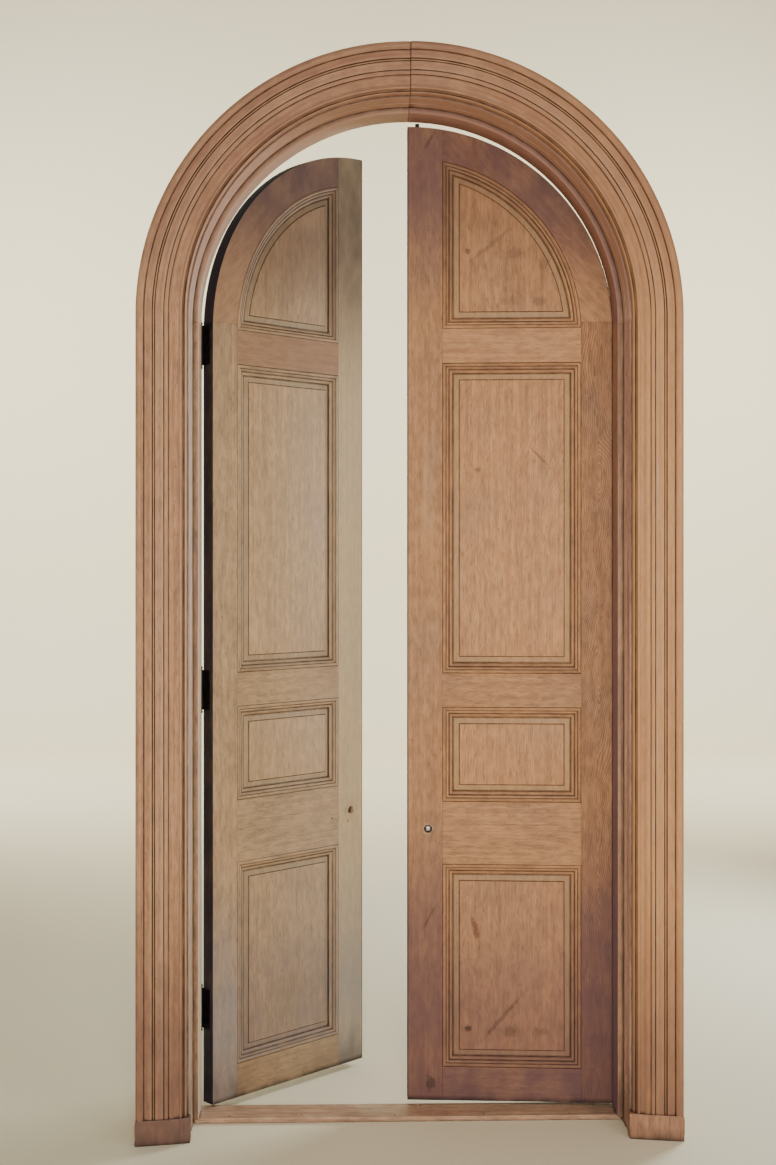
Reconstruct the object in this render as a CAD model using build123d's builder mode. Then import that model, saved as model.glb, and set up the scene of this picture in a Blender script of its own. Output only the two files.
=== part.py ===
from build123d import *
import os
from math import cos, pi, sqrt

# A pair of arched panelled door leaves in a moulded arched frame, in millimetres.
# X runs to the right as the door is seen from its moulded side, Y runs through it away from
# that side and Z runs up. The origin is on the floor in the middle of the doorway, and Y is
# zero at the middle of the thickness of the shut leaves.
# Every piece is drawn for the right half of the doorway, and its mirror image is the left one.

# Doorway and jambs
opening_half = 622.0  # half the clear width between the jamb faces
springing = 2314.0  # height where the jambs end and the arch starts
jamb_thickness = 30.0
jamb_front_step = 1.5  # the front of the jamb face stands back by this
jamb_front_length = 55.0  # depth of that front part
reveal_depth = 92.0  # from the front of the jamb to the front of the stop

# Stops and hinge linings
stop_thickness = 16.0
stop_depth = 94.0
stop_to_leaf = 1.5
lining_thickness = 8.5
lining_above_springing = 21.0
left_stop_end = 20.0  # the foot of the left stop has rotted off to this height

# Casing round the doorway
casing_margin = 7.0  # jamb edge left showing inside the casing
casing_width = 138.0
casing_outer_height = 50.0  # how far the outer corner stands off the wall
back_band_width = 22.0
back_band_crown = 4.5
quirk_width = 2.0
quirk_depth = 7.0
flat_band_width = 21.0
flat_band_height = 46.5
bead_width = 8.0
bead_crown = 3.5
bead_quirk = 6.0
fascia_drop = 2.0
fascia_inner_height = 38.0
cyma_width = 41.0
cyma_step = 3.0
cyma_height = 28.0
cyma_swell = 1.8
inner_bead_width = 8.0
inner_bead_height = 22.5
inner_bead_crown = 2.5
lap_margin = 3.0  # the casing's back is eased from this far outside the jamb
lap_clearance = 0.5  # and by this much, so that it lies on the wall alone
crown_opening = 0.06  # degrees by which each half of the arched casing stops short
jamb_crown_opening = 0.02

# Plinth blocks under the casing
plinth_height = 70.0
plinth_outer_overlap = 2.0
plinth_inner_overlap = 12.0
plinth_outer_depth = 57.0
plinth_inner_depth = 32.0
plinth_swell = 2.0

# Threshold strip
threshold_thickness = 15.0
threshold_front = 95.0  # its front edge, measured from the middle of the shut leaves
threshold_back = 12.0
threshold_gap = 1.0  # at each jamb

# Leaves
leaf_thickness = 45.0
hinge_gap = 2.0  # between a leaf and its lining
leaf_bottom = 22.0
leaf_drop = 4.5  # the leaf's arch is struck from this far below the springing
meeting_gap = 1.0  # from the middle line to a leaf, at its far face
meeting_bevel = 2.6  # what the leading edge loses towards its near face
meeting_stile_width = 107.0
hinge_stile_width = 92.5
bottom_rail_width = 100.0
lower_panel_height = 603.0
lock_rail_width = 186.0
small_panel_height = 281.5
middle_rail_width = 100.5
frieze_rail_width = 102.5
frieze_above_springing = 9.5  # top of the frieze rail above the leaf's springing
stile_joint_rise = 25.5  # joint of hinge stile and arched rail above the leaf's springing
tenon_thickness = 14.0
tenon_length = 60.0
meeting_tenon_length = 28.0  # shorter, because the knob hole and the bolts are beyond it
tenon_shoulder = 16.0
tenon_wall = 4.0  # wood left between the ends of two tenons

# Panels and their mouldings
panel_depth = 14.0  # from the stile's face to the flat edge of a panel
panel_thickness = 17.0
panel_play = 1.0  # all round a panel, which its mouldings hold on both sides
moulding_width = 30.5
moulding_bead_width = 10.5
moulding_bead_depth = 0.5
moulding_bead_crown = 1.5
moulding_quirk_width = 1.0
cove_width = 8.5
cove_depth = 3.5
ovolo_depth = 7.0
ovolo_swell = 1.2
moulding_foot_depth = 11.5
panel_bevel_width = 19.5
panel_bevel_depth = 9.0
panel_field_depth = 6.0
seat_play = 0.1  # between a curved moulding and the curve that it sits in
back_moulding_width = 18.0
back_moulding_flat = 6.0
back_moulding_sunk = 1.0

# Hinges
pin_proud = 10.0  # the pin's axis beyond the far face of the shut leaf
bottom_hinge_rise = 277.0  # its middle above the foot of the leaf
top_hinge_drop = 46.0  # its middle below the springing
middle_hinge_share = 0.48  # of the way from the bottom hinge to the top one
hinge_length = 118.0
barrel_radius = 6.2
pin_radius = 3.0
pin_play = 0.03
hinge_sides = 14  # sides of the round parts of a hinge, to keep its faces few
knuckle_gap = 0.2
plate_thickness = 2.5
plate_inset = 30.5  # how far the plates reach in from the far face
plate_to_barrel = 0.8
pin_length = 50.0
pin_end_play = 1.0

# Knob holes
knob_from_meeting_line = {"left": 54.0, "right": 65.0}
knob_height = 829.0
knob_hole_radius = 12.0

# Bolts in the right leaf
bolt_from_meeting_line = 32.0
bolt_width = 12.0
bolt_play = 0.05
bolt_length = 240.0
top_bolt_proud = 14.0
bottom_bolt_sunk = 2.0
top_bolt_travel = 12.0
top_bolt_return = 14.0  # back to flush with the leaf's end
bottom_bolt_travel = 17.0
bottom_bolt_return = 0.0
keep_hole_width = 16.0  # in the head and in the threshold
head_hole_depth = 14.0
bolt_arm_width = 8.0
bolt_arm_height = 8.0
bolt_arm_from_end = 16.0
bolt_slot_play = 0.5
bolt_plate_thickness = 2.0
bolt_plate_width = 20.0
bolt_plate_margin = 22.0  # plate left beyond each end of its slot
bolt_arm_proud = 1.0

# Where the leaves stand
left_leaf_angle = 43.0
right_leaf_angle = 4.3

# Values that follow from those above
leaf_front = -leaf_thickness / 2
leaf_back = leaf_thickness / 2
stop_back = leaf_front - stop_to_leaf
stop_front = stop_back - stop_depth
jamb_front = stop_front - reveal_depth
casing_inner = opening_half + casing_margin
casing_outer = casing_inner + casing_width
lining_face = opening_half - lining_thickness
leaf_edge = lining_face - hinge_gap
leaf_springing = springing - leaf_drop
panel_left = meeting_gap + meeting_stile_width
panel_right = leaf_edge - hinge_stile_width
pin_x = lining_face - hinge_gap / 2
pin_y = leaf_back + pin_proud
lower_sill = leaf_bottom + bottom_rail_width
small_sill = lower_sill + lower_panel_height + lock_rail_width
tall_sill = small_sill + small_panel_height + middle_rail_width
top_sill = leaf_springing + frieze_above_springing
tall_head = top_sill - frieze_rail_width
stile_joint = leaf_springing + stile_joint_rise
leaf_crown = leaf_springing + leaf_edge
far_corner = 2 * leaf_crown
bottom_hinge = leaf_bottom + bottom_hinge_rise
top_hinge = springing - top_hinge_drop
middle_hinge = bottom_hinge + middle_hinge_share * (top_hinge - bottom_hinge)
hinge_heights = (bottom_hinge, middle_hinge, top_hinge)

# Each panel's opening as its sill and head. The top one is closed by the arch.
panels = {
    "lower": (lower_sill, lower_sill + lower_panel_height),
    "small": (small_sill, small_sill + small_panel_height),
    "tall": (tall_sill, tall_head),
    "top": (top_sill, far_corner),
}

arch_axis = Axis((0, 0, springing), (0, -1, 0))
leaf_arch_axis = Axis((0, 0, leaf_springing), (0, -1, 0))

os.makedirs("parts", exist_ok=True)


def save(part, name):
    """Labels one finished piece and writes it."""
    part.label = name
    export_step(part, f"parts/{name}.step")


def both_sides(part, name):
    """Writes a piece of the frame and its mirror image."""
    save(part, f"{name}_right")
    save(mirror(part, about=Plane.YZ), f"{name}_left")


def on_leaf(part, side):
    """Takes a piece of the shut right leaf to its place on either leaf as it stands."""
    if side == "right":
        return part.rotate(Axis((pin_x, pin_y, 0), (0, 0, 1)), -right_leaf_angle)
    mirrored = mirror(part, about=Plane.YZ)
    return mirrored.rotate(Axis((-pin_x, pin_y, 0), (0, 0, 1)), left_leaf_angle)


def behind_face(depth):
    """The upright plane at a depth behind the near face of the shut leaves."""
    return Plane.XZ.offset(leaf_thickness / 2 - depth)


def slab(x_ends, z_ends, depths, mode=Mode.ADD):
    """A rectangular block of a leaf, from its ends across and up and its two depths."""
    with BuildSketch(behind_face(depths[0])) as outline:
        with Locations(((x_ends[0] + x_ends[1]) / 2, (z_ends[0] + z_ends[1]) / 2)):
            Rectangle(x_ends[1] - x_ends[0], z_ends[1] - z_ends[0])
    extrude(outline.sketch, amount=depths[0] - depths[1], mode=mode)


def leaf_outline():
    """The right leaf in elevation, a tall rectangle under a quarter circle."""
    with BuildSketch(behind_face(0)) as outline:
        with Locations((0, leaf_springing)):
            Circle(leaf_edge)
        with Locations((leaf_edge / 2, leaf_bottom)):
            Rectangle(leaf_edge, leaf_springing - leaf_bottom, align=(Align.CENTER, Align.MIN))
        with Locations((0, leaf_bottom)):
            Rectangle(leaf_edge, far_corner, align=(Align.MIN, Align.MIN), mode=Mode.INTERSECT)
    return outline.sketch


def panel_outline(name, inset, depth):
    """A panel opening in elevation, drawn in by inset, on the plane at a depth."""
    sill, head = panels[name]
    with BuildSketch(behind_face(depth)) as outline:
        if name == "top":
            with Locations((0, leaf_springing)):
                Circle(panel_right - inset)
            with Locations((panel_left + inset, sill + inset)):
                Rectangle(far_corner, far_corner, align=(Align.MIN, Align.MIN), mode=Mode.INTERSECT)
        else:
            with Locations(((panel_left + panel_right) / 2, (sill + head) / 2)):
                Rectangle(panel_right - panel_left - 2 * inset, head - sill - 2 * inset)
    return outline.sketch


def panel_layer(name, inset, depths, mode=Mode.ADD):
    """A flat layer of a panel, or a pocket for one, between two depths."""
    extrude(panel_outline(name, inset, depths[0]), amount=depths[0] - depths[1], mode=mode)


# Each rail as its lower and upper edge
rails = {
    "bottom_rail": (leaf_bottom, lower_sill),
    "lock_rail": (lower_sill + lower_panel_height, small_sill),
    "middle_rail": (small_sill + small_panel_height, tall_sill),
    "frieze_rail": (tall_head, top_sill),
}
tenon_depths = (
    (leaf_thickness - tenon_thickness) / 2,
    (leaf_thickness + tenon_thickness) / 2,
)


def rail_tenons(x_ends, mode):
    """The rails' tenons at one stile, or their mortises in it."""
    for lower, upper in rails.values():
        slab(x_ends, (lower + tenon_shoulder, upper - tenon_shoulder), tenon_depths, mode)


def arch_height(radius, x):
    """Height of a circle about the leaf's springing, where it crosses x."""
    return leaf_springing + sqrt(radius**2 - x**2)


def arched_rail_tenons(mode):
    """The arched rail's tenons into the meeting stile and the hinge stile, or their mortises."""
    lower = arch_height(panel_right, panel_left) + tenon_shoulder
    upper = arch_height(leaf_edge, panel_left) - tenon_shoulder
    slab((panel_left - meeting_tenon_length, panel_left), (lower, upper), tenon_depths, mode)
    slab(
        (panel_right + tenon_shoulder, leaf_edge - tenon_shoulder),
        (top_sill - tenon_shoulder + tenon_wall, stile_joint),
        tenon_depths,
        mode,
    )


def rounded(start, end, swell, chords=2):
    """The points of a shallow arc that swells by an amount to the left of its chord."""
    chord = Vector(*end) - Vector(*start)
    outward = Vector(-chord.Y, chord.X).normalized()
    points = []
    for step in range(chords + 1):
        share = step / chords
        bulge = 4 * swell * share * (1 - share)
        point = Vector(*start) + chord * share + outward * bulge
        points.append((point.X, point.Y))
    return points


def casing_section(plane):
    """The casing's section, from its outer side to its inner side, its back on the wall."""

    def at(inward, outward):
        return (casing_outer - inward, jamb_front - outward)

    band_end = back_band_width + quirk_width
    bead_start = band_end + flat_band_width
    bead_end = bead_start + bead_width
    cyma_start = casing_width - inner_bead_width - cyma_width
    cyma_middle = cyma_start + cyma_width / 2
    cyma_middle_height = (fascia_inner_height + cyma_height) / 2 - cyma_step / 2
    inner_start = casing_width - inner_bead_width
    bead_height = flat_band_height - bead_quirk
    outline = [at(0, 0)]
    outline += rounded(
        at(0, casing_outer_height), at(back_band_width, casing_outer_height), back_band_crown
    )
    outline.append(at(back_band_width + quirk_width / 2, casing_outer_height - quirk_depth))
    outline += [at(band_end, flat_band_height), at(bead_start, flat_band_height)]
    outline += rounded(at(bead_start, bead_height), at(bead_end, bead_height), bead_crown)
    outline.append(at(bead_end, flat_band_height - fascia_drop))
    outline.append(at(cyma_start, fascia_inner_height))
    cyma_top = at(cyma_start, fascia_inner_height - cyma_step)
    cyma_turn = at(cyma_middle, cyma_middle_height)
    outline += rounded(cyma_top, cyma_turn, cyma_swell)
    outline += rounded(cyma_turn, at(inner_start, cyma_height), -cyma_swell)[1:]
    outline += rounded(
        at(inner_start, inner_bead_height), at(casing_width, inner_bead_height), inner_bead_crown
    )
    lap = casing_outer - opening_half - jamb_thickness - lap_margin
    outline += [at(casing_width, lap_clearance), at(lap, lap_clearance), at(lap, 0)]
    with BuildSketch(plane) as section:
        with BuildLine():
            Polyline(*outline, close=True)
        make_face()
    return section.sketch


def jamb_section(plane):
    """The jamb board's section, whose front part stands back from the rest of its face."""
    front_face = opening_half + jamb_front_step
    step = jamb_front + jamb_front_length
    with BuildSketch(plane) as section:
        with BuildLine():
            Polyline(
                (opening_half + jamb_thickness, leaf_back),
                (opening_half + jamb_thickness, jamb_front),
                (front_face, jamb_front),
                (front_face, step),
                (opening_half, step + jamb_front_step),
                (opening_half, leaf_back),
                close=True,
            )
        make_face()
    return section.sketch


def stop_section(plane, play):
    """The planted stop's section, short of the jamb's face by a play."""
    with BuildSketch(plane) as section:
        with Locations((opening_half - stop_thickness, stop_front)):
            Rectangle(stop_thickness - play, stop_depth, align=(Align.MIN, Align.MIN))
    return section.sketch


def moulding_section(plane):
    """The panel moulding's section, inwards from a stile's edge, which is the plane's origin."""

    def at(inward, depth):
        return (-inward, leaf_front + depth)

    cove_start = moulding_bead_width + moulding_quirk_width
    ovolo_start = cove_start + cove_width
    outline = [at(seat_play, panel_depth)]
    outline += rounded(
        at(seat_play, moulding_bead_depth),
        at(moulding_bead_width, moulding_bead_depth),
        moulding_bead_crown,
    )
    outline.append(at(cove_start, cove_depth))
    outline += rounded(
        at(ovolo_start, ovolo_depth), at(moulding_width, moulding_foot_depth), ovolo_swell
    )
    outline.append(at(moulding_width, panel_depth))
    with BuildSketch(plane) as section:
        with BuildLine():
            Polyline(*outline, close=True)
        make_face()
    return section.sketch


def back_moulding_section(plane):
    """The plain far moulding's section, bevelled from the stile to the panel's back."""
    panel_back = leaf_back - (leaf_thickness - panel_depth - panel_thickness)
    moulding_face = leaf_back - back_moulding_sunk
    with BuildSketch(plane) as section:
        with BuildLine():
            Polyline(
                (-seat_play, panel_back),
                (-seat_play, moulding_face),
                (-back_moulding_flat, moulding_face),
                (-back_moulding_width, panel_back),
                close=True,
            )
        make_face()
    return section.sketch


def quarter_arch(section, axis, opening=0.0):
    """Turns a section through a quarter of the arch, less an opening left at the crown."""
    with BuildPart() as quarter:
        revolve(section, axis=axis, revolution_arc=90.0 - opening)
    return quarter.part


def stick_corners(name, inset):
    """The corners of a panel opening drawn in by inset, in order round it."""
    sill, head = panels[name]
    left, right, low = panel_left + inset, panel_right - inset, sill + inset
    if name == "top":
        foot = sqrt(right**2 - (low - leaf_springing) ** 2)
        return [(left, low), (foot, low), (left, arch_height(right, left))]
    high = head - inset
    return [(left, low), (right, low), (right, high), (left, high)]


def mitred_stick(section_on, name, width, index):
    """One stick of a panel's moulding, from one corner to the next, cut off at its mitres."""
    outer = stick_corners(name, 0.0)
    inner = stick_corners(name, width)
    after = (index + 1) % len(outer)
    curved = name == "top" and index == 1
    start = Vector(*outer[index])
    run = Vector(*outer[after]) - start
    along = run.normalized()
    corners = [inner[index], outer[index], outer[after], inner[after]]
    with BuildPart() as stick:
        if curved:
            corners.insert(2, (far_corner, far_corner))
            foot = Plane(origin=(panel_right, 0, leaf_springing))
            revolve(section_on(foot), axis=leaf_arch_axis, revolution_arc=90.0)
        else:
            foot = Plane(
                origin=(start.X, 0, start.Y),
                x_dir=(along.Y, 0, -along.X),
                z_dir=(along.X, 0, along.Y),
            )
            extrude(section_on(foot), amount=run.length)
        with BuildSketch(behind_face(-leaf_thickness)) as mitres:
            with BuildLine():
                Polyline(*corners, close=True)
            make_face()
        extrude(mitres.sketch, amount=-3 * leaf_thickness, mode=Mode.INTERSECT)
    return stick.part


def moulding_sticks(section_on, width):
    """All the sticks of one side of a leaf, four round each panel and three under the arch."""
    sticks = []
    for name in panels:
        for index in range(len(stick_corners(name, 0.0))):
            sticks.append(mitred_stick(section_on, name, width, index))
    return sticks


def fielded_panel(name):
    """A panel with a bevel round a raised field on its near side."""
    with BuildPart() as bevelled:
        panel_layer(name, moulding_width, (panel_bevel_depth, panel_depth + panel_thickness / 2))
        crest = bevelled.faces().sort_by(Axis.Y)[0]
        rise = panel_depth - panel_bevel_depth
        chamfer(crest.edges(), length=panel_bevel_width, length2=rise, reference=crest)
    with BuildPart() as panel:
        panel_layer(name, panel_play, (panel_depth, panel_depth + panel_thickness))
        add(bevelled.part)
        bevel_end = moulding_width + panel_bevel_width
        panel_layer(name, bevel_end, (panel_field_depth, panel_bevel_depth))
    return panel.part


def hinge_plate_pocket(x_ends, height):
    """The shallow pocket that lets one hinge plate in flush."""
    middle = ((x_ends[0] + x_ends[1]) / 2, leaf_back - plate_inset / 2, height)
    with Locations(middle):
        Box(x_ends[1] - x_ends[0], plate_inset, hinge_length, mode=Mode.SUBTRACT)


def knob_hole(side):
    """The hole right through one leaf's meeting stile for the knob's spindle."""
    with BuildSketch(behind_face(0)) as hole:
        with Locations((knob_from_meeting_line[side], knob_height)):
            Circle(knob_hole_radius)
    extrude(hole.sketch, amount=-leaf_thickness, mode=Mode.SUBTRACT)


# The two bolts, each with the height of its end of the leaf, which way is inwards from there,
# how far the rod stands out of that end, and how far it still travels out and back
bolt_top = arch_height(leaf_edge, bolt_from_meeting_line)
bolts = {
    "top": (bolt_top, -1, top_bolt_proud, top_bolt_travel, top_bolt_return),
    "bottom": (leaf_bottom, 1, -bottom_bolt_sunk, bottom_bolt_travel, bottom_bolt_return),
}
bolt_plate_face = meeting_gap + meeting_bevel


def upright_block(x_ends, half_width, z_ends, mode=Mode.ADD):
    """A block in the middle of the leaf's thickness, from its ends across and up."""
    middle = ((x_ends[0] + x_ends[1]) / 2, 0, (z_ends[0] + z_ends[1]) / 2)
    size = (x_ends[1] - x_ends[0], 2 * half_width, abs(z_ends[1] - z_ends[0]))
    with Locations(middle):
        Box(*size, mode=mode)


def bolt_arm_ends(name):
    """The heights between which a bolt's thumb arm stands at rest."""
    end, inward, proud, _, _ = bolts[name]
    middle = end + inward * (bolt_length - proud - bolt_arm_from_end)
    return (middle - bolt_arm_height / 2, middle + bolt_arm_height / 2)


def bolt_slot_ends(name):
    """The heights between which a bolt's thumb arm can travel, with some play."""
    _, inward, _, travel, back = bolts[name]
    low, high = bolt_arm_ends(name)
    below, above = (travel, back) if inward > 0 else (back, travel)
    return (low - below - bolt_slot_play, high + above + bolt_slot_play)


def bolt_plate_ends(name):
    """The heights of the lower and upper end of a bolt's plate, round its slot."""
    low, high = bolt_slot_ends(name)
    return (low - bolt_plate_margin, high + bolt_plate_margin)


def bolt_bar(z_ends, play, mode=Mode.ADD):
    """The square bar of a bolt between two heights, or with some play the way for it."""
    half = bolt_width / 2 + play
    middle = bolt_from_meeting_line
    upright_block((middle - half, middle + half), half, z_ends, mode)


def bolt_rod(name):
    """A bolt's square rod with the thumb arm that works it."""
    end, inward, proud, _, _ = bolts[name]
    arm_face = bolt_plate_face - bolt_arm_proud
    with BuildPart() as rod:
        bolt_bar((end - inward * proud, end + inward * (bolt_length - proud)), 0.0)
        upright_block(
            (arm_face, bolt_from_meeting_line), bolt_arm_width / 2, bolt_arm_ends(name)
        )
    return rod.part


def bolt_room(name):
    """Takes one bolt's way, slot and plate pocket out of the meeting stile."""
    end, inward, proud, _, back = bolts[name]
    depth = bolt_length - proud + back + bolt_slot_play
    bolt_bar((end - inward * leaf_bottom, end + inward * depth), bolt_play, Mode.SUBTRACT)
    slot_half = bolt_arm_width / 2 + bolt_slot_play
    upright_block((0, bolt_from_meeting_line), slot_half, bolt_slot_ends(name), Mode.SUBTRACT)
    pocket = (0, bolt_plate_face + bolt_plate_thickness)
    upright_block(pocket, bolt_plate_width / 2, bolt_plate_ends(name), Mode.SUBTRACT)


def bolt_plate(name):
    """The slotted plate let into the leaf's edge over a bolt's arm."""
    across = (bolt_plate_face, bolt_plate_face + bolt_plate_thickness)
    slot_half = bolt_arm_width / 2 + bolt_slot_play
    with BuildPart() as plate:
        upright_block(across, bolt_plate_width / 2, bolt_plate_ends(name))
        upright_block(across, slot_half, bolt_slot_ends(name), Mode.SUBTRACT)
    return plate.part


def hinge_round(radius, height):
    """A hinge's round section about the pin's axis, as a regular polygon with that inner radius."""
    with BuildSketch(Plane.XY.offset(height)) as section:
        with Locations((pin_x, pin_y)):
            RegularPolygon(radius / cos(pi / hinge_sides), hinge_sides)
    return section.sketch


def hinge_half(x_ends, height, upper):
    """A plate of a lift-off hinge with its knuckle. The lower half carries the fixed pin."""
    low = height - hinge_length / 2
    plate_start = leaf_back - plate_inset
    plate_width = pin_y - barrel_radius - plate_to_barrel - plate_start
    plate_middle = (x_ends[0] + x_ends[1]) / 2
    foot = height + knuckle_gap / 2 if upper else low
    knuckle_length = (hinge_length - knuckle_gap) / 2
    pin_foot = height - knuckle_gap
    with BuildPart() as half:
        with BuildSketch(Plane.XY.offset(low)) as plate:
            with Locations((plate_middle, plate_start)):
                Rectangle(plate_thickness, plate_width, align=(Align.CENTER, Align.MIN))
        extrude(plate.sketch, amount=hinge_length)
        with BuildSketch(Plane.XY.offset(foot)) as web:
            with Locations((plate_middle, plate_start)):
                Rectangle(plate_thickness, pin_y - plate_start, align=(Align.CENTER, Align.MIN))
        extrude(web.sketch, amount=knuckle_length)
        extrude(hinge_round(barrel_radius, foot), amount=knuckle_length)
        if upper:
            bore = hinge_round(pin_radius + pin_play, pin_foot)
            extrude(bore, amount=pin_length + pin_end_play, mode=Mode.SUBTRACT)
        else:
            pin = hinge_round(pin_radius * cos(pi / hinge_sides), pin_foot)
            extrude(pin, amount=pin_length)
    return half.part


# Casing, a leg and half an arch on each side, which meet at the crown
with BuildPart() as casing_leg:
    extrude(casing_section(Plane.XY.offset(plinth_height)), amount=springing - plinth_height)
casing_arch = quarter_arch(casing_section(Plane.XY.offset(springing)), arch_axis, crown_opening)
both_sides(Compound([casing_leg.part.solid(), casing_arch.solid()]), "casing")

# Plinth blocks, canted and a little round in front, a little thicker than the casing
with BuildPart() as plinth:
    plinth_outer = casing_outer + plinth_outer_overlap
    plinth_inner = casing_inner - plinth_inner_overlap
    plinth_middle = ((plinth_outer + plinth_inner) / 2, jamb_front)
    mean_depth = (plinth_outer_depth + plinth_inner_depth) / 2
    with BuildSketch(Plane.XY):
        with BuildLine():
            Polyline(
                (plinth_inner, jamb_front - plinth_inner_depth),
                (plinth_inner, jamb_front),
                (plinth_outer, jamb_front),
                (plinth_outer, jamb_front - plinth_outer_depth),
            )
            ThreePointArc(
                (plinth_outer, jamb_front - plinth_outer_depth),
                (plinth_middle[0], jamb_front - mean_depth - plinth_swell),
                (plinth_inner, jamb_front - plinth_inner_depth),
            )
        make_face()
    extrude(amount=plinth_height)
both_sides(plinth.part, "plinth")

# Jambs, a leg and half an arch on each side. Only the right arch has a hole for the top bolt.
with BuildPart() as jamb_leg:
    extrude(jamb_section(Plane.XY), amount=springing)
jamb_arch = quarter_arch(jamb_section(Plane.XY.offset(springing)), arch_axis, jamb_crown_opening)
save(mirror(Compound([jamb_leg.part.solid(), jamb_arch.solid()]), about=Plane.YZ), "jamb_left")

with BuildPart() as bored_arch:
    add(jamb_arch)
    head_face = springing + sqrt(opening_half**2 - bolt_from_meeting_line**2)
    keep_hole_play = (keep_hole_width - bolt_width) / 2
    head_hole_ends = (head_face - head_hole_depth, head_face + head_hole_depth)
    bolt_bar(head_hole_ends, keep_hole_play, Mode.SUBTRACT)
save(Compound([jamb_leg.part.solid(), bored_arch.part.solid()]), "jamb_right")

# Linings on which the leaves are hung, behind the stops
with BuildPart() as lining:
    lining_top = springing + lining_above_springing
    with BuildSketch(Plane.XZ.offset(-stop_back)) as board:
        with Locations((lining_face, 0)):
            Rectangle(lining_thickness, lining_top, align=(Align.MIN, Align.MIN))
    extrude(board.sketch, amount=stop_back - leaf_back)
    with BuildSketch(Plane.XZ.offset(-stop_back)) as hollow_of_arch:
        with Locations((0, springing)):
            Circle(opening_half - seat_play)
        with Locations((opening_half / 2, 0)):
            Rectangle(opening_half, springing, align=(Align.CENTER, Align.MIN))
    extrude(hollow_of_arch.sketch, amount=stop_back - leaf_back, mode=Mode.INTERSECT)
    for hinge_height in hinge_heights:
        hinge_plate_pocket((lining_face, lining_face + plate_thickness), hinge_height)
both_sides(lining.part, "hinge_lining")

# Stops, a leg and half an arch on each side, the left leg short of the floor
stop_arch = quarter_arch(
    stop_section(Plane.XY.offset(springing), seat_play), arch_axis, jamb_crown_opening
)
for side, foot in (("right", threshold_thickness), ("left", left_stop_end)):
    with BuildPart() as stop_leg:
        extrude(stop_section(Plane.XY.offset(foot), 0.0), amount=springing - foot)
    stop = Compound([stop_leg.part.solid(), stop_arch.solid()])
    save(stop if side == "right" else mirror(stop, about=Plane.YZ), f"stop_{side}")

# Threshold strip between the jambs and the linings, with the lower bolt's hole
with BuildPart() as threshold:
    half_front = opening_half - threshold_gap
    half_back = lining_face - threshold_gap
    with BuildSketch(Plane.XY):
        with Locations((0, (stop_back - threshold_front) / 2)):
            Rectangle(2 * half_front, threshold_front + stop_back)
        with Locations((0, (threshold_back + stop_back) / 2)):
            Rectangle(2 * half_back, threshold_back - stop_back)
        with Locations((bolt_from_meeting_line, 0)):
            Rectangle(keep_hole_width, keep_hole_width, mode=Mode.SUBTRACT)
    extrude(amount=threshold_thickness)
save(threshold.part, "threshold")

# Meeting stile, bevelled on its free edge
with BuildPart() as meeting_stile:
    slab((0, panel_left), (leaf_bottom, leaf_crown), (0, leaf_thickness))
    extrude(leaf_outline(), amount=-leaf_thickness, mode=Mode.INTERSECT)
    with BuildSketch(Plane.XY) as waste:
        with BuildLine():
            Polyline(
                (meeting_gap, leaf_back),
                (meeting_gap + meeting_bevel, leaf_front),
                (-meeting_gap, leaf_front),
                (-meeting_gap, leaf_back),
                close=True,
            )
        make_face()
    extrude(waste.sketch, amount=far_corner, mode=Mode.SUBTRACT)
    rail_tenons((panel_left - meeting_tenon_length, panel_left), Mode.SUBTRACT)
    arched_rail_tenons(Mode.SUBTRACT)

# Each leaf has its own knob hole, and only the right one has bolts
with BuildPart() as left_stile:
    add(meeting_stile.part)
    knob_hole("left")
save(on_leaf(left_stile.part, "left"), "left_meeting_stile")

with BuildPart() as right_stile:
    add(meeting_stile.part)
    knob_hole("right")
    for end_name in bolts:
        bolt_room(end_name)
save(on_leaf(right_stile.part, "right"), "right_meeting_stile")

# Bolts and their plates, in the right leaf
for end_name in bolts:
    save(on_leaf(bolt_rod(end_name), "right"), f"{end_name}_bolt_rod")
    save(on_leaf(bolt_plate(end_name), "right"), f"{end_name}_bolt_plate")

with BuildPart() as hinge_stile:
    slab((panel_right, leaf_edge), (leaf_bottom, stile_joint), (0, leaf_thickness))
    extrude(leaf_outline(), amount=-leaf_thickness, mode=Mode.INTERSECT)
    rail_tenons((panel_right, panel_right + tenon_length), Mode.SUBTRACT)
    arched_rail_tenons(Mode.SUBTRACT)
    for hinge_height in hinge_heights:
        hinge_plate_pocket((leaf_edge - plate_thickness, leaf_edge), hinge_height)

with BuildPart() as arched_rail:
    extrude(leaf_outline(), amount=-leaf_thickness)
    slab((panel_left, leaf_edge), (stile_joint, leaf_crown), (0, leaf_thickness), Mode.INTERSECT)
    panel_layer("top", 0, (0, leaf_thickness), Mode.SUBTRACT)
    arched_rail_tenons(Mode.ADD)

leaf_pieces = {"hinge_stile": hinge_stile.part, "arched_rail": arched_rail.part}

# Rails, tenoned into both stiles
for rail_name, (lower_edge, upper_edge) in rails.items():
    with BuildPart() as rail:
        slab((panel_left, panel_right), (lower_edge, upper_edge), (0, leaf_thickness))
        tenon_ends = (panel_left - meeting_tenon_length, panel_right + tenon_length)
        tenon_heights = (lower_edge + tenon_shoulder, upper_edge - tenon_shoulder)
        slab(tenon_ends, tenon_heights, tenon_depths)
    leaf_pieces[rail_name] = rail.part

for panel_name in panels:
    leaf_pieces[f"{panel_name}_panel"] = fielded_panel(panel_name)

front_sticks = moulding_sticks(moulding_section, moulding_width)
leaf_pieces["front_mouldings"] = Compound(front_sticks)
back_sticks = moulding_sticks(back_moulding_section, back_moulding_width)
leaf_pieces["back_mouldings"] = Compound(back_sticks)

leaf_plate_ends = (leaf_edge - plate_thickness, leaf_edge)
leaf_halves = [hinge_half(leaf_plate_ends, height, True) for height in hinge_heights]
leaf_pieces["hinge_halves"] = Compound(leaf_halves)

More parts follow.
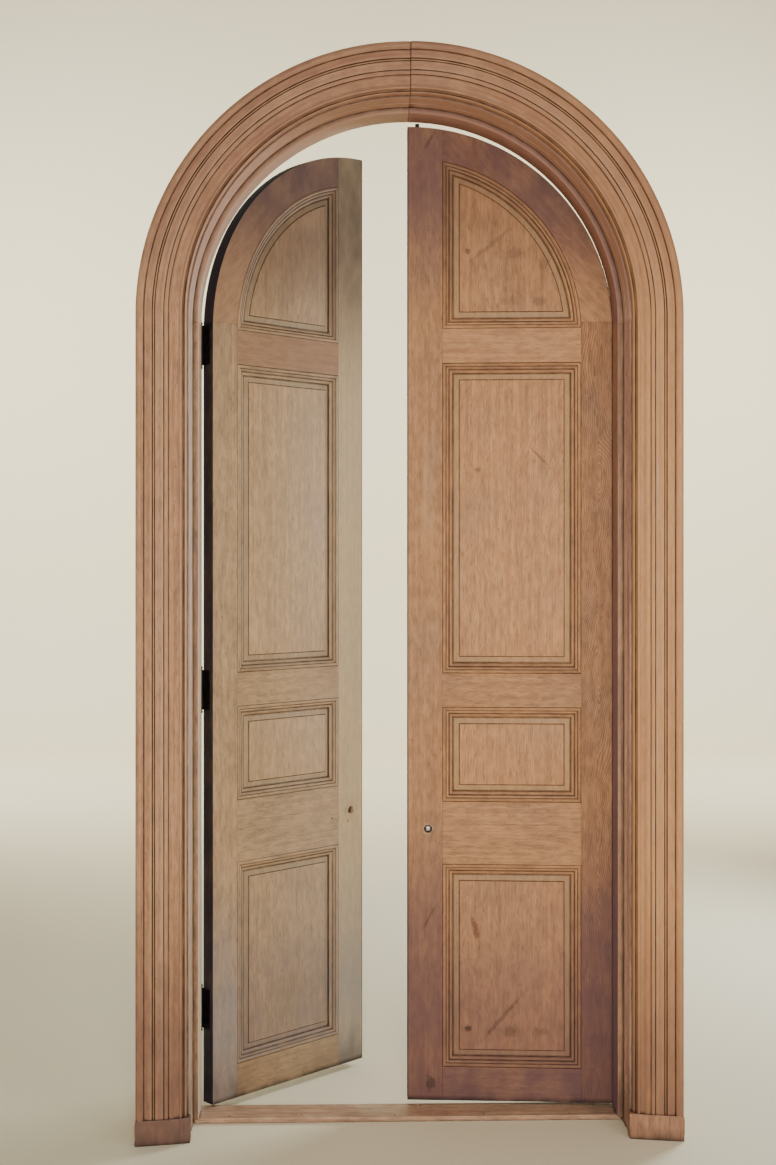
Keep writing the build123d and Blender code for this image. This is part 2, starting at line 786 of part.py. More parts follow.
for piece_name, piece in leaf_pieces.items():
    for side in ("left", "right"):
        save(on_leaf(piece, side), f"{side}_{piece_name}")

# The frame's halves of the hinges, with their pins
frame_plate_ends = (lining_face, lining_face + plate_thickness)
frame_halves = [hinge_half(frame_plate_ends, height, False) for height in hinge_heights]
both_sides(Compound(frame_halves), "frame_hinge_halves")
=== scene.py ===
"""Dresses the arched wooden door: moulded casing, raised panels, ironwork and old stripped wood."""

from math import atan2, cos, pi, radians, sin, sqrt, tau

import bmesh
import bpy
from mathutils import Matrix, Vector, noise


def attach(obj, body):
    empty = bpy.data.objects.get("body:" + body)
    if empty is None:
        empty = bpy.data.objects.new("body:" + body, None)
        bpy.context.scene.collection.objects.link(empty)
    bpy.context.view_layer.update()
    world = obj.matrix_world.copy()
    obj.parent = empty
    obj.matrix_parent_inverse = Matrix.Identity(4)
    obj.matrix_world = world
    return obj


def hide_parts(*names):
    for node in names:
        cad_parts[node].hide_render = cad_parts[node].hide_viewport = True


bl_info = {
    "name": "Arched wooden door",
    "version": (1, 0, 0),
    "blender": (4, 5, 0),
    "location": "View3D > Sidebar > Door",
    "description": "Adds the mouldings, panels, ironwork and aged finish of an arched wooden door",
    "category": "Object",
}

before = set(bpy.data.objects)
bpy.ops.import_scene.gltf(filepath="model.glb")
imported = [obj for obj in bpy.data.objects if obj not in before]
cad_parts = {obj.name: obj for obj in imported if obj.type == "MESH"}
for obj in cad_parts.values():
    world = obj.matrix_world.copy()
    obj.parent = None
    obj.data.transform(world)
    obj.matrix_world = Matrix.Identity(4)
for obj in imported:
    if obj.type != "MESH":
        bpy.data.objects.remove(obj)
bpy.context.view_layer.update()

MM = 0.001

# The doorway, as the part's source has it, in metres
SPRINGING = 2.314
CASING_OUTER = 0.767
CASING_BACK = -0.210  # the plane of the casing's flat back
PLINTH_HEIGHT = 0.070
CROWN_OPENING = radians(0.06)  # each half of the casing stops this far short of the crown
ARCH_RUN = 0.7  # metres of grain to each radian of the arch
LINING_FACE = 0.6135
THRESHOLD_TOP = 0.015

# A leaf, drawn shut on the right
LEAF_SPRINGING = 2.3095
LEAF_EDGE = 0.6115
LEAF_FACE = -0.0225
MEETING_FACE = 0.0036
PANEL_LEFT = 0.108
PANEL_RIGHT = 0.519
PANEL_ENDS = {
    "lower": (0.122, 0.725),
    "small": (0.911, 1.1925),
    "tall": (1.293, 2.2165),
    "top": (2.319, None),
}
PIN = Vector((0.6125, 0.0325, 0.0))
LEAF_ANGLE = {"left": 43.0, "right": -4.3}
KNOB_HOLE = {"left": (0.054, 0.829), "right": (0.065, 0.829)}
KNOB_HOLE_RADIUS = 0.012
HINGE_HEIGHTS = (0.299, 1.24412, 2.268)
HINGE_LENGTH = 0.118
PLATE_MIDDLE = 0.0072  # the middle of a hinge plate's width, from the leaf's middle
BOLT_PLATES = ((0.2395, 0.024), (2.7092, 0.0285))  # each plate's middle and its screws' reach
SIDES = ("left", "right")

SMOOTH_LIMIT = radians(32.0)  # facets that meet at less are shaded as one surface


def leaf_matrix(side):
    """Takes a point of the shut right leaf to its place on either leaf as it stands."""
    pin = Vector(PIN)
    mirrored = Matrix.Identity(4)
    if side == "left":
        pin.x = -pin.x
        mirrored = Matrix.Scale(-1.0, 4, (1.0, 0.0, 0.0))
    turn = Matrix.Rotation(radians(LEAF_ANGLE[side]), 4, "Z")
    return Matrix.Translation(pin) @ turn @ Matrix.Translation(-pin) @ mirrored


def side_matrix(side):
    """Takes a point of the right half of the frame to either half."""
    return Matrix.Scale(-1.0 if side == "left" else 1.0, 4, (1.0, 0.0, 0.0))


def bulged(start, end, bulge, steps):
    """Points of a shallow curve between two profile points, off its chord by bulge."""
    start, end = Vector(start), Vector(end)
    chord = end - start
    side = Vector((-chord.y, chord.x)).normalized()
    points = []
    for step in range(steps + 1):
        share = step / steps
        points.append(tuple(start + chord * share + side * (4 * bulge * share * (1 - share))))
    return points


def groove_dirt_and_shade(profile, grooves):
    """How dark each profile point is painted with dirt and painted shade, from the place, reach and
    strength of each groove.
    """
    dirt = []
    for across, _ in profile:
        inside = [strength for place, reach, strength in grooves if abs(across - place) <= reach]
        dirt.append(max(inside, default=0.0))
    return dirt


def make_object(name, points, faces, matrix, layers=()):
    """A smooth-shaded mesh object with float or vector attributes on its points."""
    mesh = bpy.data.meshes.new(name)
    mesh.from_pydata([matrix @ Vector(point) for point in points], [], faces)
    for layer, kind, values in layers:
        data = mesh.attributes.new(layer, kind, "POINT").data
        field = "value" if kind == "FLOAT" else "vector"
        flat = values if kind == "FLOAT" else [number for vector in values for number in vector]
        data.foreach_set(field, flat)
    work = bmesh.new()
    work.from_mesh(mesh)
    bmesh.ops.recalc_face_normals(work, faces=work.faces)
    for face in work.faces:
        face.smooth = True
    work.to_mesh(mesh)
    work.free()
    mesh.set_sharp_from_angle(angle=SMOOTH_LIMIT)
    shape = bpy.data.objects.new(name, mesh)
    bpy.context.scene.collection.objects.link(shape)
    return shape


def loft_faces(ring_count, ring_size, first=0):
    """The faces of a closed profile carried through rings, with a face on each end."""
    faces = []
    for ring in range(ring_count - 1):
        for step in range(ring_size):
            after = (step + 1) % ring_size
            here, there = first + ring * ring_size, first + (ring + 1) * ring_size
            faces.append((here + step, here + after, there + after, there + step))
    faces.append(tuple(range(first, first + ring_size)))
    last = first + (ring_count - 1) * ring_size
    faces.append(tuple(reversed(range(last, last + ring_size))))
    return faces


# Casing. Its grooves hold old dirt and painted shade: each is a place, a reach in millimetres and a
# strength.
CASING_GROOVES = (
    (22.9, 0.9, 0.40),
    (46.0, 0.8, 0.95),
    (53.2, 0.8, 0.70),
    (77.9, 1.3, 0.80),
    (89.1, 0.3, 0.20),
    (119.6, 0.3, 0.55),
    (127.3, 0.3, 0.55),
    (131.7, 0.9, 0.80),
)
# Pits in each side's casing: place across, height, reach across, reach up, depth
CASING_PITS = {
    "left": ((60.0, 1.42, 3.0, 0.012, 2.0), (100.0, 0.62, 4.0, 0.010, 1.6)),
    "right": (
        (124.0, 1.862, 4.0, 0.010, 4.0),
        (125.0, 1.80, 3.5, 0.012, 3.5),
        (20.0, 0.33, 6.0, 0.02, 2.5),
    ),
}
CASING_WIDTH = 138.0
CROWN_SLIP = 1.3  # millimetres by which the shrunk left half misses the right one
CROWN_RIM = 0.0026  # radians of each half's end, beside the open joint
KEY_INSET = 2.0  # the painted shade in that joint stays this far inside the casing's two sides
KEY_SUNK = 6.0  # and this far below its face
KEY_HALF = CROWN_OPENING * 1.2  # it reaches a little way into both halves
FULL_BEND = radians(40.0)  # a corner that turns by this much or more is a full arris


def casing_profile():
    """The casing's section in millimetres, as distance in from its outer side and off its back."""
    # Back band
    outline = [(0.0, 0.0), (0.0, 24.0)]
    outline += bulged((0.0, 47.0), (4.0, 52.4), 1.3, 4)
    outline += bulged((4.0, 52.4), (18.0, 52.4), 2.1, 6)[1:]
    outline += bulged((18.0, 52.4), (21.8, 47.5), 1.2, 4)[1:]
    # Quirk and flat band
    outline += [(22.1, 44.2), (23.7, 44.0)]
    outline += bulged((24.0, 45.6), (25.2, 46.6), 0.3, 2)
    outline += [(30.0, 46.4), (38.0, 46.4)]
    outline += bulged((43.8, 46.6), (45.0, 45.5), 0.3, 2)
    # Bead between two quirks
    outline += [(45.4, 39.4), (46.6, 39.2)]
    outline += bulged((46.9, 41.8), (52.1, 41.8), 2.6, 6)
    outline += [(52.5, 39.4), (53.8, 39.6)]
    # Fascia with its groove
    outline += bulged((54.1, 43.6), (55.2, 44.5), 0.3, 2)
    outline += [(66.0, 42.4), (76.2, 40.5), (76.7, 36.6), (79.1, 36.4), (79.6, 40.0)]
    outline += bulged((80.0, 40.1), (88.2, 38.3), 0.2, 2)
    outline += [(88.9, 37.6), (89.3, 34.0)]
    # Cyma
    outline += bulged((89.8, 35.0), (104.0, 33.6), 2.2, 6)
    outline += bulged((104.0, 33.6), (119.0, 29.0), -2.2, 6)[1:]
    outline += [(119.4, 28.6), (119.8, 31.2)]
    # Small bead, cove and inner bead
    outline += bulged((120.6, 31.4), (127.0, 28.6), 1.5, 5)
    outline += [(127.2, 25.4)]
    outline += bulged((127.6, 25.4), (130.4, 20.6), -0.9, 4)
    outline += [(130.9, 18.4), (132.5, 18.4)]
    outline += bulged((132.9, 21.4), (137.2, 20.6), 2.6, 6)
    outline += [(138.0, 19.0), (138.0, 8.0), (138.0, 0.0)]
    return outline


def profile_arrises(profile):
    """How much each profile point sticks out between its neighbours, from 0 to 1."""
    bends = []
    for index, point in enumerate(profile):
        before = Vector(profile[index - 1])
        after = Vector(profile[(index + 1) % len(profile)])
        middle = Vector(point)
        turn = (middle - before).angle_signed(after - middle, 0.0)
        bends.append(min(1.0, max(0.0, turn / FULL_BEND)))
    return bends


def casing_point(inward, off, angle, height):
    """A point of the casing's section where it stands at a height or an angle of the arch."""
    radius = CASING_OUTER - inward * MM
    return (radius * cos(angle), CASING_BACK - max(0.0, off) * MM, height + radius * sin(angle))


def casing_rings(profile, arrises, side, wear_depth):
    """The casing's section at each station up its leg and round its arch, a little worn."""
    stations = []
    leg_steps, arch_steps = 150, 110
    for step in range(leg_steps):
        stations.append((PLINTH_HEIGHT + (SPRINGING - PLINTH_HEIGHT) * step / leg_steps, 0.0))
    crown = pi / 2 - CROWN_OPENING
    for step in range(arch_steps):
        stations.append((SPRINGING, crown * step / arch_steps))
    stations += [(SPRINGING, crown - CROWN_RIM), (SPRINGING, crown)]
    seed = 11.0 if side == "left" else 0.0
    rings = []
    for height, angle in stations:
        ring = []
        # The left half has shrunk a little, so the two halves no longer meet quite true
        slip = CROWN_SLIP * (angle / (pi / 2)) ** 6 if side == "left" else 0.0
        for (inward, off), arris in zip(profile, arrises):
            run = height + angle * ARCH_RUN
            # Wear comes and goes every 110 mm, and chips every 40 mm
            worn = noise.noise(Vector((inward * 0.08, run * 9.0, off * 0.05 + seed)))
            chip = max(0.0, noise.noise(Vector((inward * 0.12, run * 26.0, 4.0 + seed))) - 0.32)
            lost = arris * (wear_depth / MM + 2.2 * chip) - 0.18 * worn * min(1.0, off / 8.0)
            for across, up, reach, tall, depth in CASING_PITS[side]:
                away = sqrt(((inward - across) / reach) ** 2 + ((run - up) / tall) ** 2)
                lost += depth * max(0.0, 1.0 - away**2)
            moved = min(CASING_OUTER / MM, inward + slip) if off > 1.0 else inward
            ring.append(casing_point(moved, max(0.0, off - max(0.0, lost)), angle, height))
        rings.append(ring)
    return rings


def crown_key(profile):
    """The points and faces of a near-black slab in the open joint at the crown, its painted shade.
    """
    points = []
    for angle in (pi / 2 - KEY_HALF, pi / 2 + KEY_HALF):
        for inward, off in profile:
            across = min(max(inward, KEY_INSET), CASING_WIDTH - KEY_INSET)
            points.append(casing_point(across, off - KEY_SUNK, angle, SPRINGING))
    return points, loft_faces(2, len(profile))


def worn_plinth(side):
    """The points and faces of a plinth block with bruised arrises, drawn on the right."""
    # All in millimetres
    outer, inner, back, top = 769.0, 617.0, 210.5, 70.0
    plan = [(outer, back), (outer, 240.0), (outer, 264.0)]
    plan += bulged((767.4, 266.6), (618.6, 241.8), -2.0, 28)
    plan += [(inner, 239.6), (inner, 225.0), (inner, back)]
    middle = Vector((693.0, 222.0))
    seed = 5.0 if side == "left" else 0.0
    points = []
    heights = [0.0, 1.5, 5.0, 12.0, 20.0, 29.0, 38.0, 47.0, 56.0, 63.0, 67.5, 69.4, top]
    for height in heights:
        eased = max(0.0, 1.6 - (top - height) * 0.7) + max(0.0, 0.9 - height * 0.6)
        for x, y in plan:
            place = Vector((x * 0.045, y * 0.045 + seed, height * 0.06))
            bruise = max(0.0, noise.noise(place * 1.9) - 0.12) * 5.0
            # Bruises are deepest near the corners and the top
            corner = max(0.0, 1.0 - min(abs(x - outer), abs(x - inner)) / 6.0)
            upper = max(0.0, 1.0 - (top - height) / 8.0)
            depth = eased + 0.35 + 0.5 * noise.noise(place) + bruise * max(corner, upper, 0.18)
            inwards = (middle - Vector((x, y))).normalized() * max(0.0, depth)
            # The back stays flat
            moved = 0.0 if y < back + 0.5 else inwards.y
            points.append(((x + inwards.x) * MM, -(y + moved) * MM, height * MM))
    return points, loft_faces(len(heights), len(plan))


# Leaf mouldings and panels, with the dirt and painted shade in their grooves
MOULDING_GROOVES = (
    (0.2, 0.5, 0.95),
    (11.2, 0.7, 0.40),
    (18.4, 1.4, 0.50),
    (20.6, 0.8, 1.00),
    (30.3, 0.5, 0.95),
)
PANEL_GROOVES = ((31.3, 0.7, 0.90), (49.8, 0.8, 0.95))
PANEL_BEVEL = (31.5, 48.7)  # where a panel's bevel starts and ends
STICK_SPACING = 1.3  # metres of grain from one moulding stick's figure to the next one's
ARC_STEPS = 56  # straight steps in a panel's arched side


def moulding_profile():
    """A panel moulding's section in millimetres, as distance in from the stile and depth."""
    # Raised bead
    outline = [(0.1, 14.0), (0.1, 6.0), (0.4, 2.6)]
    outline += bulged((0.9, 1.2), (3.0, -0.4), -0.5, 3)
    outline += bulged((3.0, -0.4), (7.4, -0.4), -0.6, 4)[1:]
    outline += bulged((7.4, -0.4), (10.0, 2.2), -0.5, 3)[1:]
    # Quirk and cove
    outline += [(10.5, 4.4), (11.8, 4.4)]
    outline += bulged((12.2, 3.2), (19.4, 6.2), -1.3, 6)
    # Quirk and ovolo
    outline += [(19.9, 8.6), (21.3, 8.8)]
    outline += bulged((21.7, 7.2), (29.4, 11.0), -1.5, 6)
    outline += [(29.9, 13.2), (30.5, 13.4), (30.5, 14.0)]
    return outline


def panel_profile():
    """A raised panel's section in millimetres, from its edge to its field."""
    outline = [(1.0, 31.0), (1.0, 14.0), (30.7, 14.0), (31.3, 13.9)]
    outline += bulged((31.9, 13.4), (48.6, 9.2), 0.3, 4)
    outline += [(49.1, 10.9), (50.5, 10.9), (51.0, 7.4)]
    outline += bulged((51.2, 6.9), (53.0, 6.0), -0.25, 2)
    return outline


def opening_outline(name, inset):
    """A panel opening drawn in by inset, as points in order, and the numbers of its corners."""
    low, high = PANEL_ENDS[name]
    left, right = PANEL_LEFT + inset, PANEL_RIGHT - inset
    if high:
        corners = [(left, low + inset), (right, low + inset)]
        corners += [(right, high - inset), (left, high - inset)]
        return corners, [0, 1, 2, 3]
    foot_angle = atan2(low + inset - LEAF_SPRINGING, right)
    top_angle = atan2(sqrt(right**2 - left**2), left)
    points = [(left, low + inset)]
    for step in range(ARC_STEPS + 1):
        angle = foot_angle + (top_angle - foot_angle) * step / ARC_STEPS
        points.append((right * cos(angle), LEAF_SPRINGING + right * sin(angle)))
    return points, [0, 1, ARC_STEPS + 1]


def moulding_mesh():
    """The points, faces and layers of all the moulding sticks of one leaf, drawn on the right."""
    profile = moulding_profile()
    recess = groove_dirt_and_shade(profile, MOULDING_GROOVES)
    arrises = profile_arrises(profile)
    points, faces, grime, grain, tones, bevel = [], [], [], [], [], []
    stick_number = 0
    for name in PANEL_ENDS:
        outlines = [opening_outline(name, across * MM)[0] for across, _ in profile]
        corners = opening_outline(name, 0.0)[1]
        count = len(outlines[0])
        for index, start in enumerate(corners):
            end = corners[(index + 1) % len(corners)]
            stretch = list(range(start, end + 1)) if end > start else [start, end]
            first = len(points)
            run = 0.0
            # Each stick is a little lighter or darker than the next
            tone = noise.cell(Vector((stick_number * 3.7 + 0.5, 2.5, 1.5)))
            before = Vector(outlines[0][start])
            for number in stretch:
                here = Vector(outlines[0][number])
                run += (here - before).length
                before = here
                for step, (across, depth) in enumerate(profile):
                    x, z = outlines[step][number % count]
                    points.append((x, LEAF_FACE + depth * MM, z))
                    grime.append(recess[step])
                    grain.append((across * MM, depth * MM, run + stick_number * STICK_SPACING))
                    tones.append(tone)
                    bevel.append(arrises[step])
            faces += loft_faces(len(stretch), len(profile), first)
            stick_number += 1
    layers = [("grime", "FLOAT", grime), ("grain", "FLOAT_VECTOR", grain)]
    return points, faces, layers + [("tone", "FLOAT", tones), ("bevel", "FLOAT", bevel)]


def panel_mesh(name):
    """The points, faces and layers of one raised panel, drawn on the right."""
    profile = panel_profile()
    recess = groove_dirt_and_shade(profile, PANEL_GROOVES)
    points, grime, bevel = [], [], []
    for step, (across, depth) in enumerate(profile):
        for x, z in opening_outline(name, across * MM)[0]:
            points.append((x, LEAF_FACE + depth * MM, z))
            grime.append(recess[step])
            bevel.append(1.0 if PANEL_BEVEL[0] < across < PANEL_BEVEL[1] else 0.0)
    size = len(opening_outline(name, 0.0)[0])
    layers = [("grime", "FLOAT", grime), ("bevel", "FLOAT", bevel)]
    return points, loft_faces(len(profile), size), layers


# Small ironwork
HINGE_SCREWS = (-0.38, -0.14, 0.14, 0.38)  # along a hinge, as shares of its length
SCREW_STAGGER = 0.006
HINGE_SCREW = 0.0042  # radius of a screw's head
BOLT_SCREW = 0.0032
IRON_ARRIS = 0.0006  # rounding of the ironwork's corners
NAIL_PLACES = (
    (-0.52, -0.080),
    (-0.31, -0.074),
    (-0.04, -0.081),
    (0.22, -0.076),
    (0.47, -0.080),
    (0.55, -0.020),
)


def turned(outline, steps, matrix):
    """The points and faces of a closed outline of radii and heights, turned about its axis."""
    points = []
    for radius, height in outline:
        for step in range(steps):
            angle = tau * step / steps
            points.append(matrix @ Vector((radius * cos(angle), radius * sin(angle), height)))
    return points, loft_faces(len(outline), steps)


def gather(parts):
    """Joins the points and faces of several small parts."""
    points, faces = [], []
    for part_points, part_faces in parts:
        first = len(points)
        points += part_points
        faces += [tuple(first + number for number in face) for face in part_faces]
    return points, faces


def facing(place, direction, spin=0.0):
    """A frame at a place whose third axis points in a direction, spun about it."""
    turn = Vector(direction).to_track_quat("Z", "Y").to_matrix().to_4x4()
    return Matrix.Translation(place) @ turn @ Matrix.Rotation(spin, 4, "Z")


def slotted_screw(place, direction, radius, spin):
    """A countersunk screw's head, as a disc with a raised half on each side of its slot."""
    matrix = facing(place, direction, spin)
    disc = [(radius * 0.92, -0.0006), (radius, -0.0003), (radius, 0.00005)]
    parts = [turned(disc, 20, matrix)]
    slot, steps = radius * 0.16, 12
    start = atan2(slot, radius)
    for turn in (0.0, pi):
        half = matrix @ Matrix.Rotation(turn, 4, "Z")
        points = []
        for size, height in ((1.0, 0.00005), (0.98, 0.00025), (0.80, 0.00045)):
            for step in range(steps + 1):
                angle = start + (pi - 2 * start) * step / steps
                x, y = radius * size * cos(angle), max(slot, radius * size * sin(angle))
                points.append(half @ Vector((x, y, height)))
        parts.append((points, loft_faces(3, steps + 1)))
    return gather(parts)


def hinge_tip(place, down):
    """The turned button on one end of a hinge's knuckle: a collar, a neck and a ball."""
    outline = [(0.0044, 0.0), (0.0047, 0.0008), (0.0034, 0.0016), (0.0034, 0.0024)]
    for step in range(1, 9):
        angle = pi * step / 9
        outline.append((0.0052 * sin(angle) + 0.0002, 0.0066 - 0.0048 * cos(angle)))
    return turned(outline, 20, facing(place, (0.0, 0.0, -1.0 if down else 1.0)))


def hinge_trim():
    """The tips and screws of the right hinges, for the leaf's halves and for the frame's."""
    leaf_parts, frame_parts = [], []
    for height in HINGE_HEIGHTS:
        end = HINGE_LENGTH / 2
        leaf_parts.append(hinge_tip((PIN.x, PIN.y, height + end), False))
        frame_parts.append(hinge_tip((PIN.x, PIN.y, height - end), True))
        for number, share in enumerate(HINGE_SCREWS):
            across = PLATE_MIDDLE + SCREW_STAGGER * (-1) ** number
            row = height + share * HINGE_LENGTH
            for parts, face, outwards, turn in (
                (leaf_parts, LEAF_EDGE, 1.0, 1.1),
                (frame_parts, LINING_FACE, -1.0, 0.8),
            ):
                spot, direction = (face, across, row), (outwards, 0.0, 0.0)
                parts.append(slotted_screw(spot, direction, HINGE_SCREW, number * turn))
    return gather(leaf_parts), gather(frame_parts)


def bolt_screws():
    """The screws of both bolt plates, on the right leaf's meeting edge."""
    parts = []
    for middle, reach in BOLT_PLATES:
        for offset in (-reach, reach):
            spot = (MEETING_FACE, 0.0, middle + offset)
            parts.append(slotted_screw(spot, (-1.0, 0.0, 0.0), BOLT_SCREW, middle))
    return gather(parts)


def threshold_nails():
    """The heads of the nails that hold the threshold down."""
    head = [(0.0030, -0.001), (0.0032, 0.0), (0.0024, 0.0003), (0.0006, 0.0004)]
    places = [Matrix.Translation((x, y, THRESHOLD_TOP)) for x, y in NAIL_PLACES]
    return gather([turned(head, 14, place) for place in places])


def lock_hub(side):
    """The lock's hub deep in a knob hole, a ring with a square hole for the spindle."""
    x, z = KNOB_HOLE[side]
    outer, inner, steps = KNOB_HOLE_RADIUS - 0.0004, 0.0042, 32
    circle, square = [], []
    for step in range(steps):
        angle = tau * step / steps
        across, up = cos(angle), sin(angle)
        reach = inner / max(abs(across), abs(up))
        circle.append((x + outer * across, z + outer * up))
        square.append((x + reach * across, z + reach * up))
    lip = [((a + 2 * c) / 3, (b + 2 * d) / 3) for (a, b), (c, d) in zip(circle, square)]
    rings = [(circle, -0.006), (lip, -0.009), (square, -0.0085)]
    rings += [(square, 0.0085), (lip, 0.009), (circle, 0.006)]
    points = [(px, depth, pz) for ring, depth in rings for px, pz in ring]
    faces = loft_faces(len(rings), steps)[:-2]
    last = (len(rings) - 1) * steps
    faces += [(last + i, last + (i + 1) % steps, (i + 1) % steps, i) for i in range(steps)]
    return points, faces


# Materials
MATH = "ShaderNodeMath"
VECTOR = "ShaderNodeVectorMath"
MIX = "ShaderNodeMix"
RANGE = "ShaderNodeMapRange"
COMBINE = "ShaderNodeCombineXYZ"
SEPARATE = "ShaderNodeSeparateXYZ"
TURN = "ShaderNodeVectorRotate"
LAYER = "ShaderNodeAttribute"
PLACE = "ShaderNodeTexCoord"
SOFT = "SMOOTHSTEP"


def linear(hex_colour):
    """An sRGB hex colour as a linear colour with alpha."""
    channels = [int(hex_colour[place : place + 2], 16) / 255 for place in (1, 3, 5)]
    curve = [c / 12.92 if c <= 0.04045 else ((c + 0.055) / 1.055) ** 2.4 for c in channels]
    return (*curve, 1.0)


def add_node(tree, kind, inputs=(), output=0, **settings):
    """Adds one node with its settings, sets or links its inputs and gives one of its outputs."""
    node = tree.nodes.new(kind)
    for name, value in settings.items():
        setattr(node, name, value)
    for socket, value in dict(inputs).items():
        if isinstance(value, bpy.types.NodeSocket):
            tree.links.new(value, node.inputs[socket])
        else:
            node.inputs[socket].default_value = value
    return node.outputs[output]


def new_material(name):
    """An empty material with its surface shader, as material, node tree and shader node."""
    material = bpy.data.materials.new(name)
    material.use_nodes = True
    tree = material.node_tree
    tree.nodes.clear()
    surface = add_node(tree, "ShaderNodeBsdfPrincipled")
    output = tree.nodes.new("ShaderNodeOutputMaterial")
    tree.links.new(surface, output.inputs["Surface"])
    return material, tree, surface.node


def patches(tree, place, size, low, high, detail=2.0):
    """Soft-edged patches from 0 to 1, of a size in millimetres along each axis."""
    per_metre = [1.0 / (side * MM) for side in size]
    scaled = add_node(tree, VECTOR, {0: place, 1: per_metre}, operation="MULTIPLY")
    cloud = add_node(tree, "ShaderNodeTexNoise", {"Vector": scaled, "Scale": 1.0, "Detail": detail})
    return add_node(tree, RANGE, {0: cloud, 1: low, 2: high}, interpolation_type=SOFT)


def growth_rings(tree, grain, look):
    """The dark late wood of the growth rings, from 0 to 1, about a pith behind the board."""
    # The log bends about three times a metre, by up to 50 mm
    bend = add_node(tree, VECTOR, {0: grain, 1: (3.0, 3.0, 2.6)}, operation="MULTIPLY")
    slow = {"Vector": bend, "Scale": 1.0, "Detail": 2.0}
    drift = add_node(tree, "ShaderNodeTexNoise", slow, "Color")
    sway = (0.05, 0.03, 0.0)
    bent = add_node(tree, VECTOR, {0: drift, 1: sway, 2: grain}, operation="MULTIPLY_ADD")
    pith = (look["pith"] + sway[0] / 2, sway[1] / 2 - look["pith_depth"], 0.0)
    from_pith = add_node(tree, VECTOR, {0: bent, 1: pith}, operation="SUBTRACT")
    flat = add_node(tree, VECTOR, {0: from_pith, 1: (1.0, 1.0, 0.0)}, operation="MULTIPLY")
    radius = add_node(tree, VECTOR, {0: flat}, "Value", operation="LENGTH")
    # The log swells and narrows along its length, so the rings come to the face as nested peaks
    swell = add_node(tree, SEPARATE, {0: drift}, 2)
    taper = {0: swell, 1: look["taper"], 2: radius}
    radius = add_node(tree, MATH, taper, operation="MULTIPLY_ADD")
    rings = add_node(tree, MATH, {0: radius, 1: look["ring"]}, operation="DIVIDE")
    phase = add_node(tree, MATH, {0: rings}, operation="FRACT")
    return add_node(tree, RANGE, {0: phase, 1: 0.25, 2: 0.95}, interpolation_type=SOFT)


def corner_dirt_and_shade(tree, place, look):
    """Old polish and dust left in corners and grooves, with painted shade there, from 0 to 1."""
    reach = {"Distance": look["corner"]}
    # Painted shade: ambient occlusion darkens corners and recesses within the look's reach
    open_sky = add_node(tree, "ShaderNodeAmbientOcclusion", reach, "AO", samples=8)
    shut = add_node(tree, RANGE, {0: open_sky, 1: 0.90, 2: 0.42}, interpolation_type=SOFT)
    groove = add_node(tree, LAYER, {}, "Fac", attribute_name="grime")
    deepest = add_node(tree, MATH, {0: shut, 1: groove}, operation="MAXIMUM")
    # It is thinner in patches
    gaps = patches(tree, place, (30, 30, 70), 0.2, 0.7)
    broken = add_node(tree, MATH, {0: gaps, 1: 0.4, 2: 0.6}, operation="MULTIPLY_ADD")
    return add_node(tree, MATH, {0: deepest, 1: broken}, operation="MULTIPLY")


def glaze(tree, under, cover, share, over):
    """Lays a colour over another where its cover is, by a share of that cover."""
    cover = add_node(tree, MATH, {0: cover, 1: share}, operation="MULTIPLY")
    return add_node(tree, MIX, {0: cover, 6: under, 7: over}, 2, data_type="RGBA")


